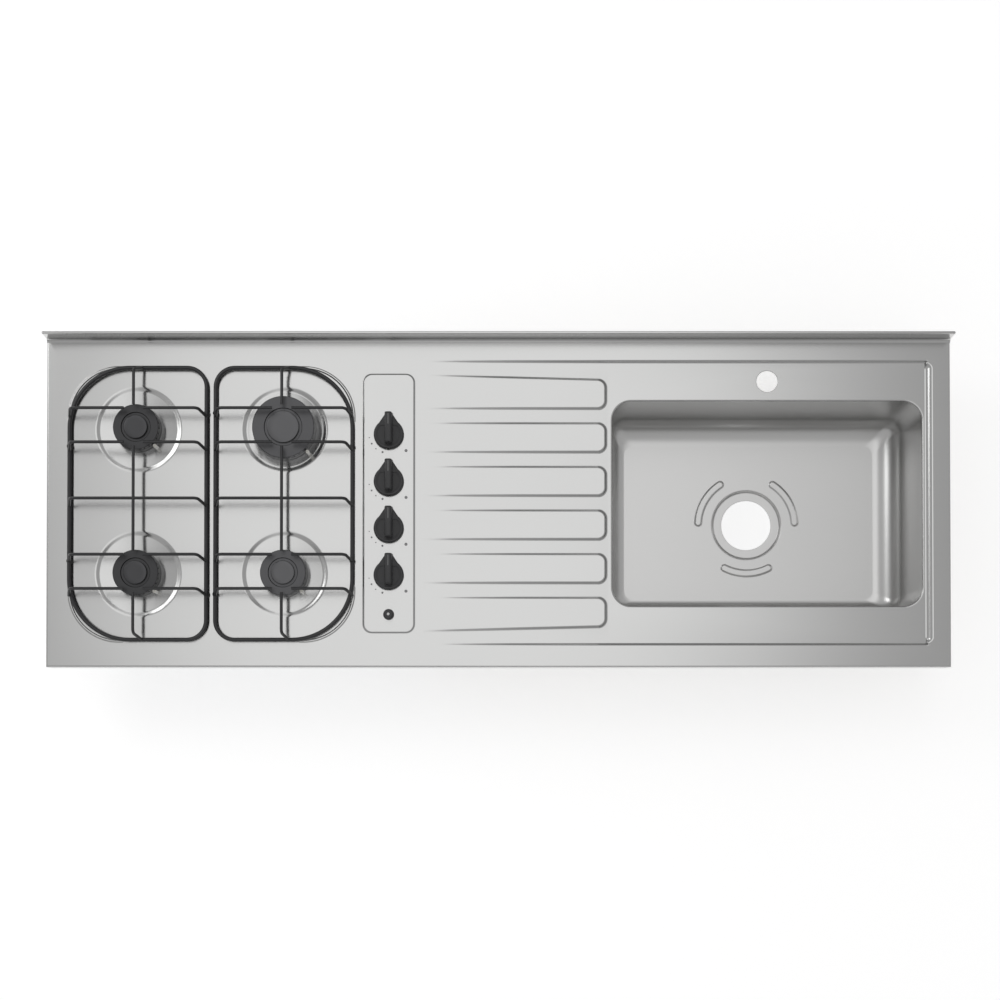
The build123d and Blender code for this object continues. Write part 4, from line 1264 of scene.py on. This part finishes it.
DRESSES: dict[str, Finish] = {
    "apron": FOLD_STEEL, "hob_tray": GALVANISED, "tray_screws": BRIGHT_ZINC, "injectors": BRASS,
    "electrodes": CERAMIC, "gas_manifold": BRIGHT_ZINC, "gas_inlet": BRASS, "igniter_collar": GLOSS_PLASTIC,
    "igniter_button": GLOSS_PLASTIC, "spark_module": PALE_PLASTIC, "ignition_leads": SILICONE,
    "front_rail": TIMBER, "rear_rail": TIMBER, "left_rail": TIMBER, "right_rail": TIMBER, "hob_rail": TIMBER,
    "centre_rail": TIMBER, "valve_body": SOFT_ALLOY, "valve_plug": BRASS, "spindle": BRIGHT_ZINC,
    "feed_pipe": SOFT_ALLOY, "left_grate_frame": GRATE_ENAMEL, "right_grate_frame": GRATE_ENAMEL,
    "left_grate_bars": GRATE_ENAMEL, "right_grate_bars": GRATE_ENAMEL, "left_grate_feet": RUBBER,
    "right_grate_feet": RUBBER,
}


@dataclass
class KeptParts:
    """The frame's own parts that are shown as they are, with their finishes."""

    nodes: dict[str, bpy.types.Object]

    def dress(self) -> None:
        """Give every shown part its finish."""
        for name, node in self.nodes.items():
            finish = DRESSES.get(name) or DRESSES.get(name.rsplit("_", 1)[0])
            if finish is None or node.hide_render:
                continue
            node.data.materials.clear()
            node.data.materials.append(finish.material())
            LOG.info("%s: dressed in %s", name, finish.name)


@dataclass
class Studio:
    """The pale floor, the soft light and the camera."""

    floor_height: float = -0.1437
    floor_reach: float = 30.0
    floor_grey: float = 0.86
    floor_roughness: float = 0.9
    floor_glow: float = 0.55
    lamp_size: tuple[float, float] = (1.1, 1.0)
    lamp_place: tuple[float, float, float] = (-1.75, 0.95, 1.75)
    lamp_power: float = 7.0
    room_grey: float = 0.46
    low_grey: float = 0.20
    low_span: tuple[float, float] = (0.05, 0.60)
    horizon_grey: float = 0.35
    horizon_span: tuple[float, float] = (0.08, 0.16)
    least_rise: float = 0.05
    glow: float = 0.64
    glow_middle: tuple[float, float, float] = (-0.03, 0.25, 0.0)
    glow_reach: tuple[float, float] = (0.275, 0.85)
    glow_core: float = 0.38
    camera_place: tuple[float, float, float] = (0.00229, -0.41599, 3.28926)
    tilt: float = 1.0
    lens: float = 70.675
    sensor: float = 36.0
    shift: float = 0.218
    sight: float = 100.0

    def build(self) -> None:
        """Set up everything that isn't the object."""
        self.lay_floor()
        self.hang_lamp()
        self.light_world()
        self.place_camera()
        bpy.context.scene.view_settings.view_transform = "Standard"

    def lay_floor(self) -> None:
        """Lay a pale floor that keeps soft shadows."""
        bm = bmesh.new()
        bmesh.ops.create_grid(bm, x_segments=1, y_segments=1, size=self.floor_reach,
                              matrix=Matrix.Translation((0.0, 0.0, self.floor_height)))
        mesh = bpy.data.meshes.new("floor")
        bm.to_mesh(mesh)
        bm.free()
        floor = bpy.data.objects.new("floor", mesh)
        bpy.context.scene.collection.objects.link(floor)
        pale = bpy.data.materials.new("pale_floor")
        pale.use_nodes = True
        tree = pale.node_tree
        shader = tree.nodes["Principled BSDF"]
        settle(shader, {"Base Color": (*[self.floor_grey] * 3, 1.0), "Roughness": self.floor_roughness,
                        "Emission Color": WHITE})
        path = tree.nodes.new("ShaderNodeLightPath")
        seen = path.outputs["Is Camera Ray"]
        for ray in ("Is Glossy Ray", "Is Transmission Ray"):
            seen = combined(tree, Sum.NUMBER, "MAXIMUM", seen, path.outputs[ray])
        glow = combined(tree, Sum.NUMBER, "MULTIPLY", seen, self.floor_glow)
        tree.links.new(glow, shader.inputs["Emission Strength"])
        mesh.materials.append(pale)

    def hang_lamp(self) -> None:
        """Hang one soft lamp beyond the left end, turned to the worktop."""
        lamp = bpy.data.lights.new("soft_lamp", "AREA")
        lamp.shape = "RECTANGLE"
        lamp.size, lamp.size_y = self.lamp_size
        lamp.energy = self.lamp_power
        hung = bpy.data.objects.new("soft_lamp", lamp)
        hung.location = self.lamp_place
        hung.rotation_euler = (-Vector(self.lamp_place)).to_track_quat("-Z", "Y").to_euler()
        bpy.context.scene.collection.objects.link(hung)

    def light_world(self) -> None:
        """Light the room evenly, with a soft glow overhead, less light low down and a pale horizon."""
        world = bpy.data.worlds.new("room")
        world.use_nodes = True
        tree = world.node_tree
        way = tree.nodes.new("ShaderNodeTexCoord").outputs["Object"]
        parts = tree.nodes.new("ShaderNodeSeparateXYZ")
        tree.links.new(way, parts.inputs[0])
        height = parts.outputs["Z"]
        rise = combined(tree, Sum.NUMBER, "MAXIMUM", height, self.least_rise)
        slope = combined(tree, Sum.VECTOR, "DIVIDE", way, rise)
        shifted = combined(tree, Sum.VECTOR, "SUBTRACT", slope, self.glow_middle)
        across, along = self.glow_reach
        scaled = combined(tree, Sum.VECTOR, "MULTIPLY", shifted, (1 / across, 1 / along, 0.0))
        away = tree.nodes.new("ShaderNodeVectorMath")
        away.operation = "LENGTH"
        tree.links.new(scaled, away.inputs[0])
        total = ranged(tree, away.outputs["Value"], (self.glow_core, 1.0), (self.glow, 0.0), True)
        for span, levels in ((self.low_span, (self.low_grey, self.room_grey)),
                             (self.horizon_span, (self.horizon_grey, 0.0))):
            total = combined(tree, Sum.NUMBER, "ADD", total, ranged(tree, height, span, levels, True))
        ground = tree.nodes["Background"]
        ground.inputs["Color"].default_value = WHITE
        tree.links.new(total, ground.inputs["Strength"])
        bpy.context.scene.world = world

    def place_camera(self) -> None:
        """Place the camera high in front of the worktop, looking down."""
        lens = bpy.data.cameras.new("camera")
        lens.lens = self.lens
        lens.sensor_width = self.sensor
        lens.shift_y = self.shift
        lens.clip_end = self.sight
        camera = bpy.data.objects.new("camera", lens)
        camera.location = self.camera_place
        camera.rotation_euler = (math.radians(self.tilt), 0.0, 0.0)
        bpy.context.scene.collection.objects.link(camera)
        bpy.context.scene.camera = camera


# The radii of a burner's skirt, crown and cap, and the finishes of its crown and cap; the finishes are a
# darker and a lighter copy of one crown finish and one cap finish, painted shade on the two left burners and
# painted light on the two right ones
SMALL = (0.0385, 0.0375, 0.0195)
LARGE = (0.052, 0.051, 0.0265)
SHADED_PAIR = (SHADED_CROWN, SHADED_CAP)
LIT_PAIR = (LIT_CROWN, LIT_CAP)
BURNERS = ((SMALL, SHADED_PAIR), (LARGE, LIT_PAIR), (SMALL, SHADED_PAIR), (SMALL, LIT_PAIR))
KNOB_YS = (0.1107, 0.0329, -0.0449, -0.1227)


def main() -> None:
    """Dress the worktop."""
    logging.basicConfig(level=logging.INFO, format="%(message)s")
    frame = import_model()
    WorktopSheet().build()
    Upstand().build()
    SinkBowl().build()
    for number, (place, (radii, finishes)) in enumerate(zip(BURNER_PLACES, BURNERS), start=1):
        Burner(number, place, *radii, *finishes).build()
    for number, y in enumerate(KNOB_YS, start=1):
        Knob(number, y).build()
        PanelPrint(number, y).build()
    # The igniter button's painted highlight
    ButtonPaintedHighlight().build()
    KeptParts(frame["nodes"]).dress()
    Studio().build()
    bpy.context.view_layer.update()


if __name__ == "__main__":
    main()
